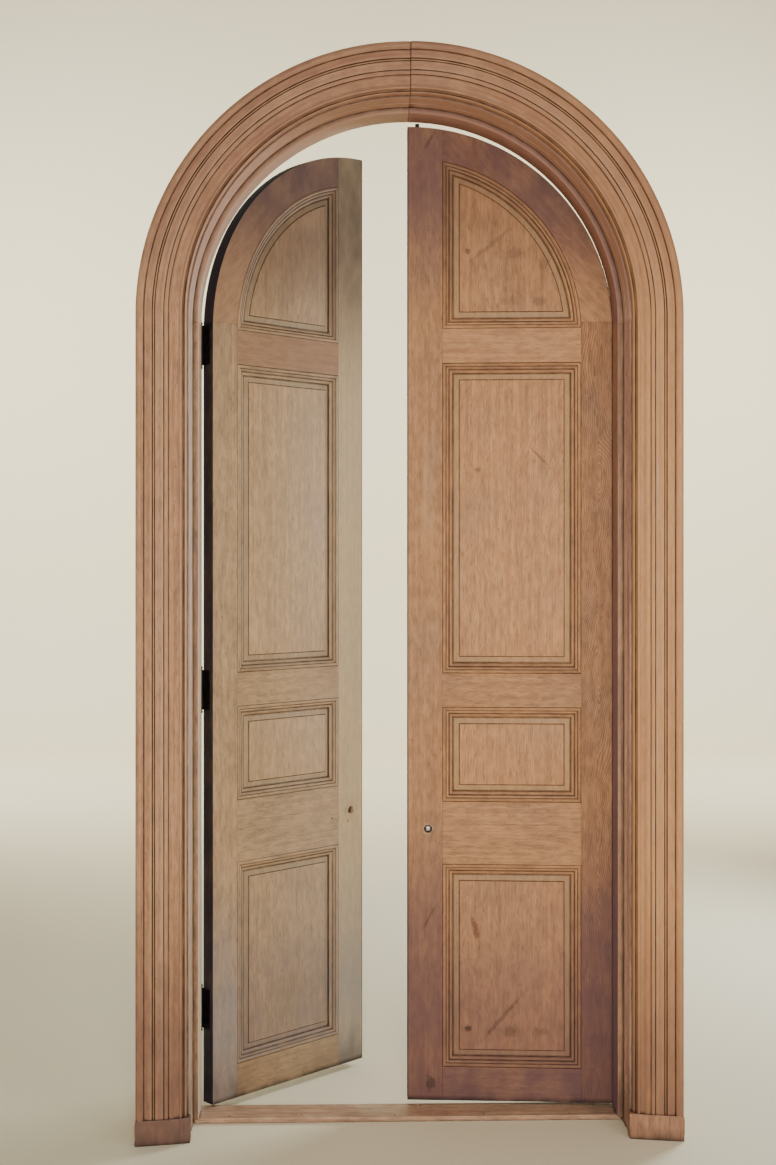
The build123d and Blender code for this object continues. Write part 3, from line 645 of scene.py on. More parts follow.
def finish_wood(tree, shader, grain, place, look, marks=()):
    """Draws old stripped hardwood along the third axis of grain, with its dirt and painted light
    and shade set by place.
    """
    board, tone, figure = (
        add_node(tree, LAYER, {}, "Fac", attribute_type="OBJECT", attribute_name=name)
        for name in ("board", "tone", "figure")
    )
    stick, bevel = (
        add_node(tree, LAYER, {}, "Fac", attribute_name=name) for name in ("tone", "bevel")
    )
    # Each board is cut from its own place in the log
    moved = {0: board, 1: (0.37, 0.21, 5.3), 2: grain}
    grain = add_node(tree, VECTOR, moved, operation="MULTIPLY_ADD")
    late = growth_rings(tree, grain, look)
    # Streaks of denser fibre, 5 mm wide and up to 420 mm long
    streak = patches(tree, grain, (5, 5, 420), 0.30, 0.70, 3.0)
    # Redder heartwood shows in long patches, 13 by 380 mm
    heart = patches(tree, grain, (13, 13, 380), 0.40, 0.72, 3.0)
    # Open pores are 0.3 mm wide, drawn as dashes of 2.6 by 24 mm so that they show
    pore = patches(tree, grain, (2.6, 2.6, 24), 0.56, 0.72, 1.0)
    colour = glaze(tree, look["light"], streak, look["streaks"], look["dark"])
    colour = glaze(tree, colour, heart, look["heart_share"], look["heart"])
    colour = glaze(tree, colour, late, figure, look["late"])
    colour = glaze(tree, colour, pore, look["pores"], look["pore"])
    # Sheen and handling leave clouds a hand wide, and finer ones from 14 by 40 mm down to 2 mm
    cloud = patches(tree, place, (120, 120, 190), 0.25, 0.75)
    fine = patches(tree, grain, (14, 14, 40), 0.30, 0.70, 5.0)
    changes = ((stick, look["stick_tone"]), (fine, look["mottle"]), (cloud, look["clouds"]))
    even = 1.0 - (look["clouds"] + look["mottle"]) / 2
    value = add_node(tree, MATH, {0: tone, 1: even}, operation="ADD")
    for change, share in changes:
        value = add_node(tree, MATH, {0: change, 1: share, 2: value}, operation="MULTIPLY_ADD")
    colour = add_node(tree, "ShaderNodeHueSaturation", {"Value": value, "Color": colour})
    # Arrises and panel bevels are paler: rubbed wear, and painted highlight
    colour = glaze(tree, colour, bevel, look["wear_and_highlight_share"], look["bevel"])
    # Knocks and stopped pinholes are 1 to 3 mm, drawn as specks of up to 8 mm so that they show
    speck = patches(tree, place, (9, 9, 12), 0.71, 0.80, 1.0)
    colour = glaze(tree, colour, speck, look["specks"], look["grime"])
    for mark in marks:
        colour = mark(tree, place, colour)
    # Corners and grooves are darkened with dirt and painted shade
    dirt = corner_dirt_and_shade(tree, place, look)
    colour = glaze(tree, colour, dirt, look["dirt"], look["grime"])
    rough = add_node(tree, RANGE, {0: cloud, 3: look["rough"] - 0.07, 4: look["rough"] + 0.07})
    # Late wood and streaks stand up a little and the pores are open
    relief = add_node(tree, MATH, {0: late, 1: figure}, operation="MULTIPLY")
    for change, share in ((streak, 0.5), (pore, -0.5)):
        relief = add_node(tree, MATH, {0: change, 1: share, 2: relief}, operation="MULTIPLY_ADD")
    bump = add_node(tree, "ShaderNodeBump", {"Strength": 0.3, "Distance": 0.001, "Height": relief})
    tree.links.new(colour, shader.inputs["Base Color"])
    tree.links.new(rough, shader.inputs["Roughness"])
    tree.links.new(bump, shader.inputs["Normal"])
    shader.inputs["IOR"].default_value = 1.45
    shader.inputs["Specular IOR Level"].default_value = 0.35


def smudge(centre, size, angle, colour, strength, grit=16.0):
    """A mark on a leaf: a soft ellipse about a point, turned by degrees, with a ragged edge."""

    def paint(tree, place, under):
        offset = (centre[0], 0.0, centre[1])
        moved = add_node(tree, VECTOR, {0: place, 1: offset}, operation="SUBTRACT")
        turned_by = {"Vector": moved, "Angle": radians(angle)}
        level = add_node(tree, TURN, turned_by, rotation_type="Y_AXIS")
        shrink = (1.0 / size[0], 0.0, 1.0 / size[1])
        scaled = add_node(tree, VECTOR, {0: level, 1: shrink}, operation="MULTIPLY")
        away = add_node(tree, VECTOR, {0: scaled}, "Value", operation="LENGTH")
        ragged = patches(tree, place, (grit, grit, grit), 0.2, 0.8)
        edge = add_node(tree, MATH, {0: ragged, 1: 0.55, 2: away}, operation="MULTIPLY_ADD")
        inside = add_node(tree, RANGE, {0: edge, 1: 1.25, 2: 0.6}, interpolation_type=SOFT)
        return glaze(tree, under, inside, strength, linear(colour))

    return paint


def wash(axis, low, high, colour, strength, ragged=1.0):
    """A colour laid on a board from one place to another along an axis, with or without gaps."""

    def paint(tree, place, under):
        along = add_node(tree, SEPARATE, {0: place}, axis)
        cover = patches(tree, place, (60, 60, 110), 0.2, 0.7)
        gaps = {0: cover, 1: ragged, 2: 1.0 - ragged}
        cover = add_node(tree, MATH, gaps, operation="MULTIPLY_ADD")
        ends = {0: along, 1: low, 2: high, 4: strength}
        share = add_node(tree, RANGE, ends, interpolation_type=SOFT)
        return glaze(tree, under, share, cover, linear(colour))

    return paint


def rim(radius, colour, strength):
    """A colour on the leaf's arched end, outside a radius about its springing."""

    def paint(tree, place, under):
        middle = (0.0, 0.0, LEAF_SPRINGING)
        spoke = add_node(tree, VECTOR, {0: place, 1: middle}, operation="SUBTRACT")
        above = add_node(tree, VECTOR, {0: spoke, 1: (1.0, 0.0, 1.0)}, operation="MULTIPLY")
        away = add_node(tree, VECTOR, {0: above}, "Value", operation="LENGTH")
        up = add_node(tree, SEPARATE, {0: spoke}, 2)
        over = add_node(tree, MATH, {0: up, 1: 0.0}, operation="GREATER_THAN")
        ends = {0: away, 1: radius - 0.0007, 2: radius, 4: strength}
        share = add_node(tree, RANGE, ends, interpolation_type=SOFT)
        return glaze(tree, under, share, over, linear(colour))

    return paint


def knob_marks(side):
    """The ghost of the lost knob's rose, the raw ring inside it, and the hole painted near-black:
    painted shade in the bore and a dark ring round it.
    """
    centre = KNOB_HOLE[side]
    return [
        smudge(centre, (0.034, 0.034), 0.0, "#8d6b4e", 0.30, 9.0),
        smudge(centre, (0.020, 0.020), 0.0, "#d6b48b", 0.55, 5.0),
        # Painted shade inside the bore, with a dark ring round its mouth
        smudge(centre, (0.0150, 0.0150), 0.0, "#1c130d", 0.97, 2.0),
    ]


# Painted shade, blue-black, on both long edges of each leaf and over its arched end
EDGE_SHADE_COLOUR = "#1c1a26"
ARCH_EDGE_SHADE = rim(0.6111, EDGE_SHADE_COLOUR, 0.96)
EDGE_SHADES = [
    wash(0, 0.0068, 0.0060, EDGE_SHADE_COLOUR, 0.96, 0.1),
    wash(0, 0.6104, 0.6111, EDGE_SHADE_COLOUR, 0.96, 0.1),
    ARCH_EDGE_SHADE,
]
FOOT_DIRT = wash(2, 0.040, 0.023, "#231812", 0.85, 0.5)
# Small knocked holes beside the left leaf's knob hole, filled with dirt
DIRT_HOLES = [
    smudge((0.135, 0.811), (0.005, 0.005), 0.0, "#21170f", 0.9, 3.0),
    smudge((0.067, 0.795), (0.004, 0.004), 0.0, "#21170f", 0.9, 3.0),
]
# Painted light and shade come first: cool grey light on the left leaf, strongest at its meeting
# edge, and shade towards each leaf's top and foot; then streaks, spots and knocks as they lie on
# the leaf
STILE_MARKS = {
    "left": [
        wash(0, 0.40, 0.02, "#bfb996", 0.52, 0.2),
        wash(2, 0.80, 0.25, "#7f8084", 0.60, 0.3),
        wash(2, 0.20, 0.03, "#4c3a2c", 0.6),
        wash(2, 2.12, 2.62, "#58463a", 0.85, 0.3),
        FOOT_DIRT,
        *EDGE_SHADES,
        *DIRT_HOLES,
        *knob_marks("left"),
    ],
    "right": [
        wash(2, 0.98, 0.40, "#5c3d43", 0.80, 0.25),
        wash(2, 2.30, 2.78, "#614243", 0.85, 0.3),
        FOOT_DIRT,
        *EDGE_SHADES,
        smudge((0.070, 2.880), (0.007, 0.036), -29.0, "#4a342a", 0.6),
        smudge((0.068, 0.565), (0.006, 0.050), -27.0, "#4c3328", 0.5),
        smudge((0.072, 0.074), (0.022, 0.030), 0.0, "#33231c", 0.6),
        smudge((0.060, 1.80), (0.020, 0.280), 0.0, "#c79d74", 0.25, 40.0),
        *knob_marks("right"),
    ],
}
# The panels carry the same painted light and shade at first, and then their stains
PANEL_MARKS = {
    "left": [
        wash(0, 0.60, 0.02, "#a59a86", 0.38, 0.3),
        wash(2, 2.28, 2.62, "#5f463a", 0.62, 0.3),
        wash(2, 0.80, 0.20, "#6a6268", 0.50, 0.4),
        # A dark band along the left panels' meeting side: painted shadow in the recess
        wash(0, 0.1455, 0.1435, "#1a1512", 0.85, 0.1),
        smudge((0.250, 2.02), (0.050, 0.170), 12.0, "#a08a6c", 0.35, 30.0),
        smudge((0.330, 0.30), (0.090, 0.100), 0.0, "#857158", 0.35, 30.0),
    ],
    "right": [
        wash(2, 2.40, 2.80, "#70503f", 0.50, 0.5),
        wash(2, 0.84, 0.20, "#69494f", 0.58, 0.35),
        smudge((0.204, 2.690), (0.010, 0.060), 3.0, "#7a4632", 0.4),
        smudge((0.183, 2.549), (0.012, 0.014), 0.0, "#4b3428", 0.65, 8.0),
        smudge((0.250, 2.567), (0.010, 0.110), -52.0, "#6b4c38", 0.45),
        smudge((0.322, 2.542), (0.034, 0.026), 0.0, "#6b4c38", 0.50, 9.0),
        smudge((0.411, 2.511), (0.024, 0.030), 0.0, "#6b4c38", 0.45, 9.0),
        smudge((0.308, 2.400), (0.040, 0.020), 0.0, "#70503b", 0.45, 9.0),
        smudge((0.396, 2.399), (0.030, 0.018), 0.0, "#70503b", 0.45, 9.0),
        smudge((0.3985, 1.934), (0.006, 0.056), 45.0, "#6b4632", 0.55, 9.0),
        smudge((0.213, 1.897), (0.013, 0.012), 0.0, "#5e4230", 0.55, 8.0),
        smudge((0.206, 0.533), (0.012, 0.052), 13.0, "#6a3a2a", 0.75, 9.0),
        smudge((0.185, 0.235), (0.015, 0.013), 0.0, "#33231a", 0.75, 8.0),
        smudge((0.288, 0.272), (0.009, 0.115), -41.0, "#4f362b", 0.50),
        smudge((0.310, 0.228), (0.036, 0.022), 0.0, "#4e382b", 0.45, 6.0),
        smudge((0.399, 0.229), (0.030, 0.020), 0.0, "#4e382b", 0.35, 6.0),
    ],
}
# The sticks carry the same painted light and shade: grey light on the left, shade at top and foot
STICK_MARKS = {
    "left": [
        wash(0, 0.60, 0.02, "#a59a86", 0.38, 0.3),
        wash(2, 2.20, 2.60, "#5f463a", 0.70, 0.3),
        wash(2, 0.80, 0.20, "#6a6268", 0.45, 0.4),
    ],
    "right": [
        wash(2, 2.34, 2.78, "#5f4034", 0.65, 0.3),
        wash(2, 0.84, 0.20, "#624345", 0.62, 0.35),
    ],
}
# The rails carry the same painted light and shade first, and then their dirt and marks
RAIL_MARKS = {
    "left": [
        wash(0, 0.60, 0.02, "#a59a86", 0.38, 0.3),
        wash(2, 0.22, 0.02, "#4c3a2c", 0.6, 0.5),
        wash(2, 2.05, 2.26, "#8a5c42", 0.50, 0.2),
        wash(2, 2.38, 2.76, "#4d383a", 0.85, 0.3),
        FOOT_DIRT,
        ARCH_EDGE_SHADE,
        DIRT_HOLES[0],
    ],
    "right": [
        wash(2, 0.28, 0.09, "#553a44", 0.85, 0.3),
        wash(2, 2.36, 2.66, "#573639", 0.85, 0.3),
        FOOT_DIRT,
        ARCH_EDGE_SHADE,
        smudge((0.204, 2.850), (0.012, 0.075), 3.0, "#6f3f2d", 0.55),
        smudge((0.420, 2.760), (0.080, 0.060), 40.0, "#5e463a", 0.35, 30.0),
    ],
}

# The casing is painted lighter and warmer on the right, as painted light, and darker towards its
# foot and round its arch, as painted shade
CASING_LIGHT_AND_SHADE = [
    wash(0, 0.0, 0.5, "#c48b55", 0.50, 0.2),
    wash(2, 0.75, 0.10, "#6b4a42", 0.68, 0.4),
    wash(2, 2.2, 2.7, "#82594a", 0.5, 0.5),
]
# The left plinth is painted darker, as painted shade, and both plinths are darker at the floor
PLINTH_MARKS = [
    wash(0, 0.0, -0.5, "#57403f", 0.72, 0.3),
    wash(2, 0.05, 0.0, "#4f3a30", 0.7),
]
# Jambs and stops are dusty at the foot, and both are the same brown round the arch
FOOT_DUST = wash(2, 0.30, 0.03, "#4f382c", 0.7)
ARCH_BROWN = wash(2, SPRINGING - 0.10, SPRINGING + 0.20, "#a1745a", 0.85, 0.15)
# The left stop's side is painted cream, as painted light from beyond the door, and the right one's
# dark, as painted shade
STOP_SIDE = LEAF_EDGE - 0.004
STOP_SIDE_LIGHT_AND_SHADE = {
    "left": wash(0, -STOP_SIDE, 0.001 - STOP_SIDE, "#dccbb0", 0.65, 0.2),
    "right": wash(0, STOP_SIDE, STOP_SIDE - 0.001, "#83687a", 0.82, 0.1),
}

# How much lighter or darker each board is than its leaf
BOARD_TONES = {
    "left": {
        "meeting_stile": 0.14,
        "hinge_stile": -0.05,
        "back_mouldings": -0.02,
        "arched_rail": -0.08,
        "frieze_rail": -0.15,
        "middle_rail": -0.04,
        "lock_rail": -0.10,
        "bottom_rail": -0.04,
    },
    "right": {
        "meeting_stile": -0.11,
        "hinge_stile": -0.17,
        "back_mouldings": -0.02,
        "arched_rail": -0.08,
        "frieze_rail": 0.04,
        "middle_rail": -0.12,
        "lock_rail": -0.06,
        "bottom_rail": -0.02,
    },
}
PANEL_TONES = {"lower": -0.02, "small": 0.05, "tall": 0.07, "top": -0.06}
# How clearly a board's growth rings show: most of all on the hinge stiles
BOARD_FIGURE = 0.12
PANEL_FIGURE = 0.16
HINGE_STILE_FIGURE = {"left": 0.16, "right": 0.58}

# Mahogany, its varnish stripped by hand: warm and matt, with short dark pores, narrow redder
# streaks, arrises rubbed pale and painted paler as highlights, grooves dark with old varnish and
# painted shade
CASING_LOOK = {
    "late": linear("#80583a"),
    "heart": linear("#905a44"),
    "heart_share": 0.50,
    "pore": linear("#66432c"),
    "bevel": linear("#d5aa80"),
    "wear_and_highlight_share": 0.45,
    "grime": linear("#2c1b12"),
    "pith": 0.70,
    "pith_depth": 0.33,
    "taper": 0.20,
    "ring": 0.0068,
    "streaks": 0.50,
    "pores": 0.42,
    "clouds": 0.16,
    "mottle": 0.28,
    "specks": 0.30,
    "stick_tone": 0.0,
    "corner": 0.010,
    "dirt": 0.92,
    "rough": 0.62,
}
# The same mahogany where hands didn't reach, on the jambs: browner, with dust and a wider painted
# shade in the corners
JAMB_LOOK = {**CASING_LOOK, "heart": linear("#7c4f45"), "pith": 0.5, "corner": 0.025}
# The plinths' mahogany, scuffed by shoes and brooms: cloudy and darker, with a wider painted shade
# in the corners
PLINTH_LOOK = {**CASING_LOOK, "clouds": 0.30, "corner": 0.02}
# The threshold's, polished by shoes, so it has a sheen and worn pale patches; its pale colours are
# partly a painted reflection of the light beyond
THRESHOLD_LOOK = {**CASING_LOOK, "clouds": 0.30, "rough": 0.42}
# Mahogany planks of the leaves: the panels quiet, the hinge stiles with nested rings
LEAF_LOOKS = {
    "right": {
        **CASING_LOOK,
        "late": linear("#7c4631"),
        "heart": linear("#8f5d42"),
        "heart_share": 0.30,
        "bevel": linear("#a58c66"),
        "wear_and_highlight_share": 0.40,
        "pith": 0.565,
        "pith_depth": 0.022,
        "ring": 0.0054,
        "streaks": 0.38,
        "specks": 0.35,
        "stick_tone": 0.12,
        "corner": 0.008,
    },
}
# The left leaf faces the light beyond, and its greyer colours are painted cool light from it
LEAF_LOOKS["left"] = {
    **LEAF_LOOKS["right"],
    "late": linear("#7d6349"),
    "heart": linear("#8f7257"),
    "pore": linear("#5f4c37"),
    "bevel": linear("#8b7e66"),
}


def shaded(look, colours, piece):
    """A wood's look with the pale and dark colours that the user set for a piece."""
    light, dark = (tuple(getattr(colours, f"{piece}_{end}")) for end in ("light", "dark"))
    return {**look, "light": light, "dark": dark}


def leaf_place(tree, side):
    """A point's place on the shut right leaf, from its object's own coordinates."""
    place = add_node(tree, PLACE, {}, "Object")
    pin = (-PIN.x if side == "left" else PIN.x, PIN.y, 0.0)
    from_pin = add_node(tree, VECTOR, {0: place, 1: pin}, operation="SUBTRACT")
    swing = {"Vector": from_pin, "Angle": -radians(LEAF_ANGLE[side])}
    shut = add_node(tree, TURN, swing, rotation_type="Z_AXIS")
    back = add_node(tree, VECTOR, {0: shut, 1: pin}, operation="ADD")
    mirror = (-1.0 if side == "left" else 1.0, 1.0, 1.0)
    return add_node(tree, VECTOR, {0: back, 1: mirror}, operation="MULTIPLY")


def leaf_wood(name, side, look, marks, turn):
    """A leaf's wood with its grain turned by degrees, or along the moulding sticks for None."""
    material, tree, shader = new_material(name)
    place = leaf_place(tree, side)
    if turn is None:
        grain = add_node(tree, LAYER, {}, "Vector", attribute_name="grain")
    else:
        turned_by = {"Vector": place, "Angle": radians(turn)}
        grain = add_node(tree, TURN, turned_by, rotation_type="Y_AXIS")
    finish_wood(tree, shader, grain, place, look, marks)
    return material


def frame_wood(name, look, marks=()):
    """The frame's wood, whose grain runs up the legs and round the arch."""
    material, tree, shader = new_material(name)
    place = add_node(tree, PLACE, {}, "Object")
    x, y, z = add_node(tree, SEPARATE, {0: place}).node.outputs
    above = add_node(tree, MATH, {0: z, 1: SPRINGING}, operation="SUBTRACT")
    rise = add_node(tree, MATH, {0: above, 1: 0.0}, operation="MAXIMUM")
    spoke = add_node(tree, COMBINE, {0: x, 1: rise})
    radius = add_node(tree, VECTOR, {0: spoke}, "Value", operation="LENGTH")
    reach = add_node(tree, MATH, {0: x}, operation="ABSOLUTE")
    angle = add_node(tree, MATH, {0: rise, 1: reach}, operation="ARCTAN2")
    leg = add_node(tree, MATH, {0: z, 1: SPRINGING}, operation="MINIMUM")
    along = add_node(tree, MATH, {0: angle, 1: 0.7, 2: leg}, operation="MULTIPLY_ADD")
    hand = add_node(tree, MATH, {0: x}, operation="SIGN")
    across = add_node(tree, MATH, {0: radius, 1: hand}, operation="MULTIPLY")
    grain = add_node(tree, COMBINE, {0: across, 1: y, 2: along})
    finish_wood(tree, shader, grain, place, look, marks)
    return material


def level_wood(name, look, marks=()):
    """Wood with its grain across the doorway."""
    material, tree, shader = new_material(name)
    place = add_node(tree, PLACE, {}, "Object")
    grain = add_node(tree, TURN, {"Vector": place, "Angle": pi / 2}, rotation_type="Y_AXIS")
    finish_wood(tree, shader, grain, place, look, marks)
    return material


def iron(name, dark, rust, metal):
    """Old iron with patches of rust."""
    material, tree, shader = new_material(name)
    place = add_node(tree, PLACE, {}, "Object")
    patch = patches(tree, place, (8, 8, 8), 0.45, 0.75, 4.0)
    colour = add_node(tree, MIX, {0: patch, 6: dark, 7: rust}, 2, data_type="RGBA")
    rough = add_node(tree, RANGE, {0: patch, 3: 0.42, 4: 0.68})
    bump = add_node(tree, "ShaderNodeBump", {"Strength": 0.25, "Distance": 0.0005, "Height": patch})
    tree.links.new(colour, shader.inputs["Base Color"])
    tree.links.new(rough, shader.inputs["Roughness"])
    tree.links.new(bump, shader.inputs["Normal"])
    shader.inputs["Metallic"].default_value = metal
    return material


def give(shape, material, tone=0.0, board=0.0, figure=0.1):
    """Puts one material on an object, with its own tone, place in the log and ring figure."""
    shape.data.materials.clear()
    shape.data.materials.append(material)
    shape["tone"] = tone
    shape["board"] = board
    shape["figure"] = figure


WELD_REACH = 0.00002
FLAT_LIMIT = radians(0.5)  # facets that meet at less are joined into one face
ARRIS_LIMIT = radians(34.0)  # faces that meet at more have an arris to round
FRAME_ARRIS = 1.6  # how many times as much the frame's arrises are rounded as the leaves'


def ease_arrises(shape, width):
    """Joins a node's facets and rounds its arrises."""
    weld = shape.modifiers.new("Weld", "WELD")
    weld.merge_threshold = WELD_REACH
    planes = shape.modifiers.new("Flat faces", "DECIMATE")
    planes.decimate_type = "DISSOLVE"
    planes.angle_limit = FLAT_LIMIT
    bevel = shape.modifiers.new("Arrises", "BEVEL")
    bevel.width = width
    bevel.segments = 2
    bevel.limit_method = "ANGLE"
    bevel.angle_limit = ARRIS_LIMIT
    bevel.harden_normals = True


# Stage, in metres and watts
FLOOR_NEAR, FLOOR_FAR, FLOOR_HALF_WIDTH = -12.0, 8.5, 12.0
BACKDROP_CURVE, BACKDROP_TOP = 1.5, 9.0
CURVE_STEPS = 12
BACKDROP_POWER = 480.0
KEY_SPREAD = radians(100.0)
COOL, PLAIN = (0.86, 0.93, 1.0), (1.0, 0.98, 0.94)
SKY, SKY_STRENGTH = "#f3efe6", 0.32
# Camera, as solved from the photograph
CAMERA_X, CAMERA_Y = -0.175, -4.5
CAMERA_TURN = radians(-1.5)
LENS, SENSOR_HEIGHT = 46.94, 36.0  # millimetres
HORIZON = 22.5 / 1165  # how far the horizon lies above the middle, as a share of the frame


def backdrop():
    """The points and faces of the floor, which curves up into a backdrop far behind the door."""
    section = [(FLOOR_NEAR, 0.0), (FLOOR_FAR, 0.0)]
    for step in range(1, CURVE_STEPS + 1):
        angle = pi / 2 * step / CURVE_STEPS
        back = FLOOR_FAR + BACKDROP_CURVE * sin(angle)
        section.append((back, BACKDROP_CURVE - BACKDROP_CURVE * cos(angle)))
    section.append((FLOOR_FAR + BACKDROP_CURVE, BACKDROP_TOP))
    points = [(x, y, z) for x in (-FLOOR_HALF_WIDTH, FLOOR_HALF_WIDTH) for y, z in section]
    count = len(section)
    faces = [(i, i + 1, count + i + 1, count + i) for i in range(count - 1)]
    return points, faces


def softbox(name, where, target, size, power, colour):
    """A square studio light aimed at a target."""
    data = bpy.data.lights.new(name, "AREA")
    data.energy = power
    data.size = size
    data.color = colour
    data.spread = KEY_SPREAD if name == "key" else pi
    lamp = bpy.data.objects.new(name, data)
    lamp.location = where
    aim = (Vector(target) - Vector(where)).to_track_quat("-Z", "Y")
    lamp.rotation_euler = aim.to_euler()
    bpy.context.scene.collection.objects.link(lamp)


def camera_at(eye_height):
    """The camera before the door, at the photograph's viewing angle."""
    data = bpy.data.cameras.new("camera")
    data.sensor_fit = "VERTICAL"
    data.sensor_height = SENSOR_HEIGHT
    data.lens = LENS
    data.shift_y = -HORIZON
    camera = bpy.data.objects.new("camera", data)
    camera.location = (CAMERA_X, CAMERA_Y, eye_height)
    camera.rotation_euler = (pi / 2, 0.0, CAMERA_TURN)
    bpy.context.scene.collection.objects.link(camera)
    return camera


# Settings
def swatch(name, description, hex_colour):
    """A colour that a user can change."""
    return bpy.props.FloatVectorProperty(
        name=name,
        description=description,
        subtype="COLOR",
        size=4,
        min=0.0,
        max=1.0,
        default=linear(hex_colour),
    )


def metres(name, description, size):
    """A length that a user can change."""
    return bpy.props.FloatProperty(
        name=name, description=description, default=size, min=0.0, precision=5, unit="LENGTH"
    )


def watts(name, description, power):
    """A light's power that a user can change."""
    return bpy.props.FloatProperty(
        name=name, description=description, default=power, min=0.0, unit="POWER"
    )


class DoorColours(bpy.types.PropertyGroup):
    """Colours of the door's woods and iron and of the floor."""

    casing_light: swatch("Casing, light", "Pale wood of the casing", "#c0906a")
    casing_dark: swatch("Casing, dark", "Dark streaks of the casing", "#9d6e4d")
    # The reveals' pale colours are painted light: cream on the left from the light beyond the door,
    # and paler on the right where the lamps reach it less
    left_reveal_light: swatch("Left reveal, light", "Pale wood of the left jamb", "#cdb092")
    left_reveal_dark: swatch("Left reveal, dark", "Dark streaks of the left jamb", "#a6866a")
    right_reveal_light: swatch("Right reveal, light", "Pale wood of the right jamb", "#deb69f")
    right_reveal_dark: swatch("Right reveal, dark", "Dark streaks of the right jamb", "#b58a77")
    stop_light: swatch("Stop, light", "Pale wood of the stops", "#c69a72")
    stop_dark: swatch("Stop, dark", "Dark streaks of the stops", "#9d7352")
    plinth_light: swatch("Plinth, light", "Pale wood of the plinths", "#a97d60")
    plinth_dark: swatch("Plinth, dark", "Dark streaks of the plinths", "#7f5a44")
    # The threshold's pale colours are partly a painted reflection of the light beyond
    threshold_light: swatch("Threshold, light", "Pale wood of the threshold", "#c6a384")
    threshold_dark: swatch("Threshold, dark", "Dark streaks of the threshold", "#977358")
    right_leaf_light: swatch("Right leaf, light", "Pale wood of the right leaf", "#bd8b5f")
    right_leaf_dark: swatch("Right leaf, dark", "Dark streaks of the right leaf", "#996a45")
    # The left leaf's greyer colours are painted cool light from beyond the door
    left_leaf_light: swatch("Left leaf, light", "Pale wood of the left leaf", "#bb9870")
    left_leaf_dark: swatch("Left leaf, dark", "Dark streaks of the left leaf", "#977654")
    # The crown joint's colour is painted shade, on a near-black slab sunk in the open joint
    crown_joint_shade: swatch("Crown joint", "Dirt in the joint at the casing's crown", "#1a110b")
    iron: swatch("Iron", "Hinges, bolts and screws", "#18181b")
    floor: swatch("Floor", "Studio floor", "#efe5c4")


class DoorSizes(bpy.types.PropertyGroup):
    """Wear of the door's arrises."""

    arris: metres("Arris", "Rounding of the boards' corners", 0.0009)
    casing_wear: metres("Casing wear", "How much the arrises of the casing have lost", 0.00035)


class DoorStage(bpy.types.PropertyGroup):
    """Light and camera."""

    key_power: watts("Key", "Power of the light before the door", 62.0)
    fill_power: watts("Side", "Power of the weaker light on the right", 28.0)
    back_power: watts("Back", "Power of the cool light beyond the door", 125.0)
    eye_height: metres("Eye height", "Height of the camera", 1.63)


class DOOR_OT_casing(bpy.types.Operator):
    """Adds the moulded casing, the painted shade in its crown joint and the worn plinth blocks"""

    bl_idname = "door.casing"
    bl_label = "Casing"

    def execute(self, context):
        wear = context.scene.door_sizes.casing_wear
        colours = context.scene.door_colours
        profile = casing_profile()
        arrises = profile_arrises(profile)
        dirt = groove_dirt_and_shade(profile, CASING_GROOVES)
        look = shaded(CASING_LOOK, colours, "casing")
        wood = frame_wood("stripped mahogany, casing", look, CASING_LIGHT_AND_SHADE)
        block_look = shaded(PLINTH_LOOK, colours, "plinth")
        block = frame_wood("scuffed mahogany, plinth", block_look, PLINTH_MARKS)
        # The left casing and plinth are toned darker and the right ones lighter, as painted light
        # and shade
        for side, tone, board in (("left", -0.07, 0.3), ("right", 0.03, 1.7)):
            rings = casing_rings(profile, arrises, side, wear)
            points = [point for ring in rings for point in ring]
            faces = loft_faces(len(rings), len(profile))
            # The last ring, at the crown's joint, is painted dark all over: painted shade in the
            # open joint
            grime = dirt * (len(rings) - 1) + [0.9] * len(profile)
            layers = [("grime", "FLOAT", grime), ("bevel", "FLOAT", arrises * len(rings))]
            shape = make_object(f"casing_{side}_moulding", points, faces, side_matrix(side), layers)
            give(shape, wood, tone, board)
            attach(shape, "frame")
            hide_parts(f"casing_{side}")
            points, faces = worn_plinth(side)
            shape = make_object(f"plinth_{side}_block", points, faces, side_matrix(side))
            give(shape, block, tone, board + 0.6)
            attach(shape, "frame")
            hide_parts(f"plinth_{side}")
        # A near-black slab sunk in the open joint paints its shade as a black line
        shade = tuple(colours.crown_joint_shade)
        joint_shade_look = {**CASING_LOOK, "light": shade, "dark": shade}
        dark = frame_wood("dirt-filled joint, crown", joint_shade_look)
        key = make_object("casing_crown_key", *crown_key(profile), Matrix.Identity(4))
        give(key, dark)
        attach(key, "frame")
        return {"FINISHED"}


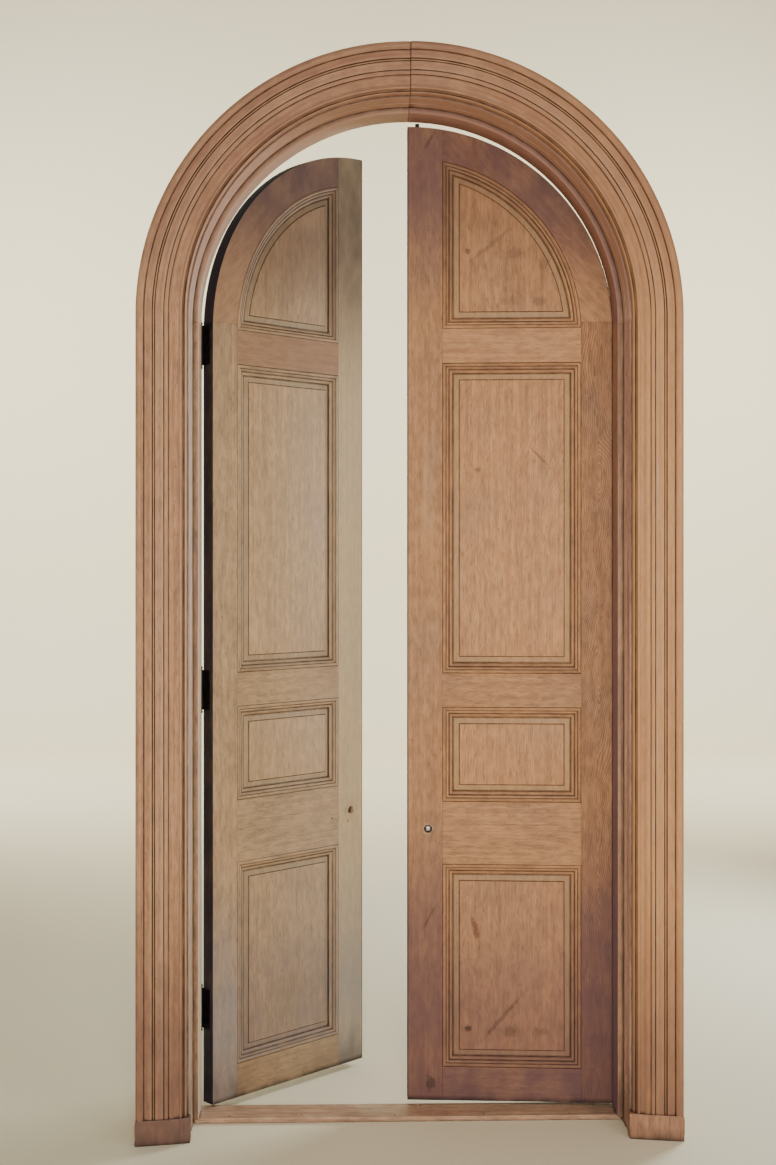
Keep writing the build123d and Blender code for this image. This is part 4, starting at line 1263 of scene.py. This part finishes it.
class DOOR_OT_frame_boards(bpy.types.Operator):
    """Finishes the jambs, stops, linings and threshold"""

    bl_idname = "door.frame_boards"
    bl_label = "Frame boards"

    def execute(self, context):
        arris = context.scene.door_sizes.arris * FRAME_ARRIS
        colours = context.scene.door_colours
        stop_look = shaded(JAMB_LOOK, colours, "stop")
        jambs, stops = {}, {}
        for side in SIDES:
            # Each reveal has its own colours, which hold painted light
            jamb_look = shaded(JAMB_LOOK, colours, f"{side}_reveal")
            marks = [FOOT_DUST, ARCH_BROWN]
            jambs[side] = frame_wood(f"stripped mahogany, {side} jamb", jamb_look, marks)
            # The left stop's side gets painted light, the right one's painted shade
            marks = [FOOT_DUST, STOP_SIDE_LIGHT_AND_SHADE[side], ARCH_BROWN]
            stops[side] = frame_wood(f"stripped mahogany, {side} stop", stop_look, marks)
        tread_look = shaded(THRESHOLD_LOOK, colours, "threshold")
        tread = level_wood("trodden mahogany, threshold", tread_look)
        number = 0
        for name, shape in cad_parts.items():
            side = "left" if "left" in name else "right"
            tone = 0.0
            if name.startswith("threshold"):
                material = tread
            elif name.startswith("stop"):
                material = stops[side]
                tone = -0.20 if side == "left" else 0.0
            elif name.startswith(("jamb", "hinge_lining")):
                material = jambs[side]
            else:
                continue
            give(shape, material, tone, number * 0.61)
            ease_arrises(shape, arris)
            number += 1
        return {"FINISHED"}


class DOOR_OT_leaf_boards(bpy.types.Operator):
    """Finishes the stiles, rails and back mouldings of both leaves"""

    bl_idname = "door.leaf_boards"
    bl_label = "Stiles and rails"

    def execute(self, context):
        arris = context.scene.door_sizes.arris
        for side in SIDES:
            stem = f"stripped mahogany, {side} leaf"
            look = shaded(LEAF_LOOKS[side], context.scene.door_colours, f"{side}_leaf")
            upright = leaf_wood(f"{stem} stiles", side, look, STILE_MARKS[side], 0.0)
            level = leaf_wood(f"{stem} rails", side, look, RAIL_MARKS[side], 90.0)
            arched = leaf_wood(f"{stem} arched rail", side, look, RAIL_MARKS[side], 41.0)
            woods = dict.fromkeys(("meeting_stile", "hinge_stile", "back_mouldings"), upright)
            woods["arched_rail"] = arched
            for number, (piece, tone) in enumerate(BOARD_TONES[side].items()):
                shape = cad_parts[f"{side}_{piece}"]
                board, figure = 0.43 * (number + 1), BOARD_FIGURE
                if piece == "hinge_stile":
                    board, figure = 0.0, HINGE_STILE_FIGURE[side]
                give(shape, woods.get(piece, level), tone, board, figure)
                ease_arrises(shape, arris)
        return {"FINISHED"}


class DOOR_OT_panels(bpy.types.Operator):
    """Adds the raised panels and the mouldings round them"""

    bl_idname = "door.panels"
    bl_label = "Panels and mouldings"

    def execute(self, context):
        points, faces, layers = moulding_mesh()
        for side in SIDES:
            matrix = leaf_matrix(side)
            stem = f"stripped mahogany, {side} leaf"
            look = shaded(LEAF_LOOKS[side], context.scene.door_colours, f"{side}_leaf")
            upright = leaf_wood(f"{stem} panels", side, look, PANEL_MARKS[side], 0.0)
            # The sticks' arrises are rubbed pale and carry painted highlights, as the casing's are
            rubbed_and_lit = {**look, "bevel": look["light"], "wear_and_highlight_share": 0.25}
            sticks = leaf_wood(f"{stem} sticks", side, rubbed_and_lit, STICK_MARKS[side], None)
            shape = make_object(f"{side}_panel_sticks", points, faces, matrix, layers)
            give(shape, sticks, -0.10, 0.9)
            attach(shape, f"{side}_leaf")
            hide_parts(f"{side}_front_mouldings")
            for number, (name, tone) in enumerate(PANEL_TONES.items()):
                panel_points, panel_faces, panel_layers = panel_mesh(name)
                label = f"{side}_raised_{name}_panel"
                shape = make_object(label, panel_points, panel_faces, matrix, panel_layers)
                give(shape, upright, tone, 1.1 + number * 0.83, PANEL_FIGURE)
                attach(shape, f"{side}_leaf")
                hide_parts(f"{side}_{name}_panel")
        return {"FINISHED"}


class DOOR_OT_ironwork(bpy.types.Operator):
    """Finishes the hinges and bolts and adds their tips and screws, the lock hubs and nails"""

    bl_idname = "door.ironwork"
    bl_label = "Ironwork"

    def execute(self, context):
        # Wrought iron, blackened: nearly black, dull, brown where the rust has come through
        dark = tuple(context.scene.door_colours.iron)
        black = iron("blackened wrought iron", dark, linear("#38251b"), 0.6)
        # The lock hubs are mild steel, rubbed bright by the spindle, with rust in the corners
        steel = iron("worn mild steel", linear("#8f8c88"), linear("#5d4a3c"), 0.9)
        for name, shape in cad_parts.items():
            if "hinge_halves" in name or "bolt" in name:
                give(shape, black)
                ease_arrises(shape, IRON_ARRIS)
        leaf_trim, frame_trim = hinge_trim()
        for side in SIDES:
            for label, trim, body, matrix in (
                (f"{side}_leaf_hinge_trim", leaf_trim, f"{side}_leaf", leaf_matrix(side)),
                (f"{side}_frame_hinge_trim", frame_trim, "frame", side_matrix(side)),
            ):
                shape = make_object(label, *trim, matrix)
                give(shape, black)
                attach(shape, body)
            hub = make_object(f"{side}_lock_hub", *lock_hub(side), leaf_matrix(side))
            give(hub, steel)
            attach(hub, f"{side}_leaf")
        shape = make_object("bolt_plate_screws", *bolt_screws(), leaf_matrix("right"))
        give(shape, black)
        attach(shape, "right_leaf")
        shape = make_object("threshold_nails", *threshold_nails(), Matrix.Identity(4))
        give(shape, black)
        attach(shape, "frame")
        return {"FINISHED"}


class DOOR_OT_stage(bpy.types.Operator):
    """Adds the floor, the backdrop, the lights and the camera"""

    bl_idname = "door.stage"
    bl_label = "Stage"

    def execute(self, context):
        settings = context.scene.door_stage
        # Studio paper, rolled out and lit: pale and matt, with no pattern
        material, _, shader = new_material("matt studio paper, floor")
        shader.inputs["Base Color"].default_value = context.scene.door_colours.floor
        shader.inputs["Roughness"].default_value = 0.8
        floor = make_object("studio_floor", *backdrop(), Matrix.Identity(4))
        floor.data.materials.append(material)
        key, side, beyond = settings.key_power, settings.fill_power, settings.back_power
        softbox("key", (0.0, -5.2, 1.7), (0.05, -0.2, 1.55), 1.1, key, PLAIN)
        softbox("side", (2.0, -3.3, 1.7), (0.1, -0.2, 1.5), 1.3, side, PLAIN)
        softbox("beyond", (2.6, 2.2, 2.0), (-0.35, 0.2, 1.3), 1.2, beyond, COOL)
        # Two more light the backdrop alone
        for name, hand in (("backdrop_left", -1.0), ("backdrop_right", 1.0)):
            where, target = (4.2 * hand, 5.4, 4.2), (hand, 10.0, 2.4)
            softbox(name, where, target, 3.0, BACKDROP_POWER, PLAIN)
        world = bpy.data.worlds.new("studio")
        world.use_nodes = True
        sky = world.node_tree.nodes["Background"]
        sky.inputs["Color"].default_value = linear(SKY)
        sky.inputs["Strength"].default_value = SKY_STRENGTH
        context.scene.world = world
        context.scene.camera = camera_at(settings.eye_height)
        return {"FINISHED"}


class DOOR_PT_panel(bpy.types.Panel):
    """Lists the door's pieces and settings in the sidebar"""

    bl_label = "Arched wooden door"
    bl_idname = "DOOR_PT_panel"
    bl_space_type = "VIEW_3D"
    bl_region_type = "UI"
    bl_category = "Door"

    def draw(self, context):
        layout, scene = self.layout, context.scene
        for operator in OPERATORS:
            layout.operator(operator.bl_idname)
        for group in (scene.door_sizes, scene.door_colours, scene.door_stage):
            for name in type(group).__annotations__:
                layout.prop(group, name)


OPERATORS = (
    DOOR_OT_casing,
    DOOR_OT_frame_boards,
    DOOR_OT_leaf_boards,
    DOOR_OT_panels,
    DOOR_OT_ironwork,
    DOOR_OT_stage,
)
CLASSES = (DoorColours, DoorSizes, DoorStage, *OPERATORS, DOOR_PT_panel)


def register():
    for item in CLASSES:
        bpy.utils.register_class(item)
    bpy.types.Scene.door_colours = bpy.props.PointerProperty(type=DoorColours)
    bpy.types.Scene.door_sizes = bpy.props.PointerProperty(type=DoorSizes)
    bpy.types.Scene.door_stage = bpy.props.PointerProperty(type=DoorStage)


def unregister():
    del bpy.types.Scene.door_colours
    del bpy.types.Scene.door_sizes
    del bpy.types.Scene.door_stage
    for item in reversed(CLASSES):
        bpy.utils.unregister_class(item)


def main():
    register()
    bpy.ops.door.casing()
    bpy.ops.door.frame_boards()
    bpy.ops.door.leaf_boards()
    bpy.ops.door.panels()
    bpy.ops.door.ironwork()
    bpy.ops.door.stage()


if __name__ == "__main__":
    main()
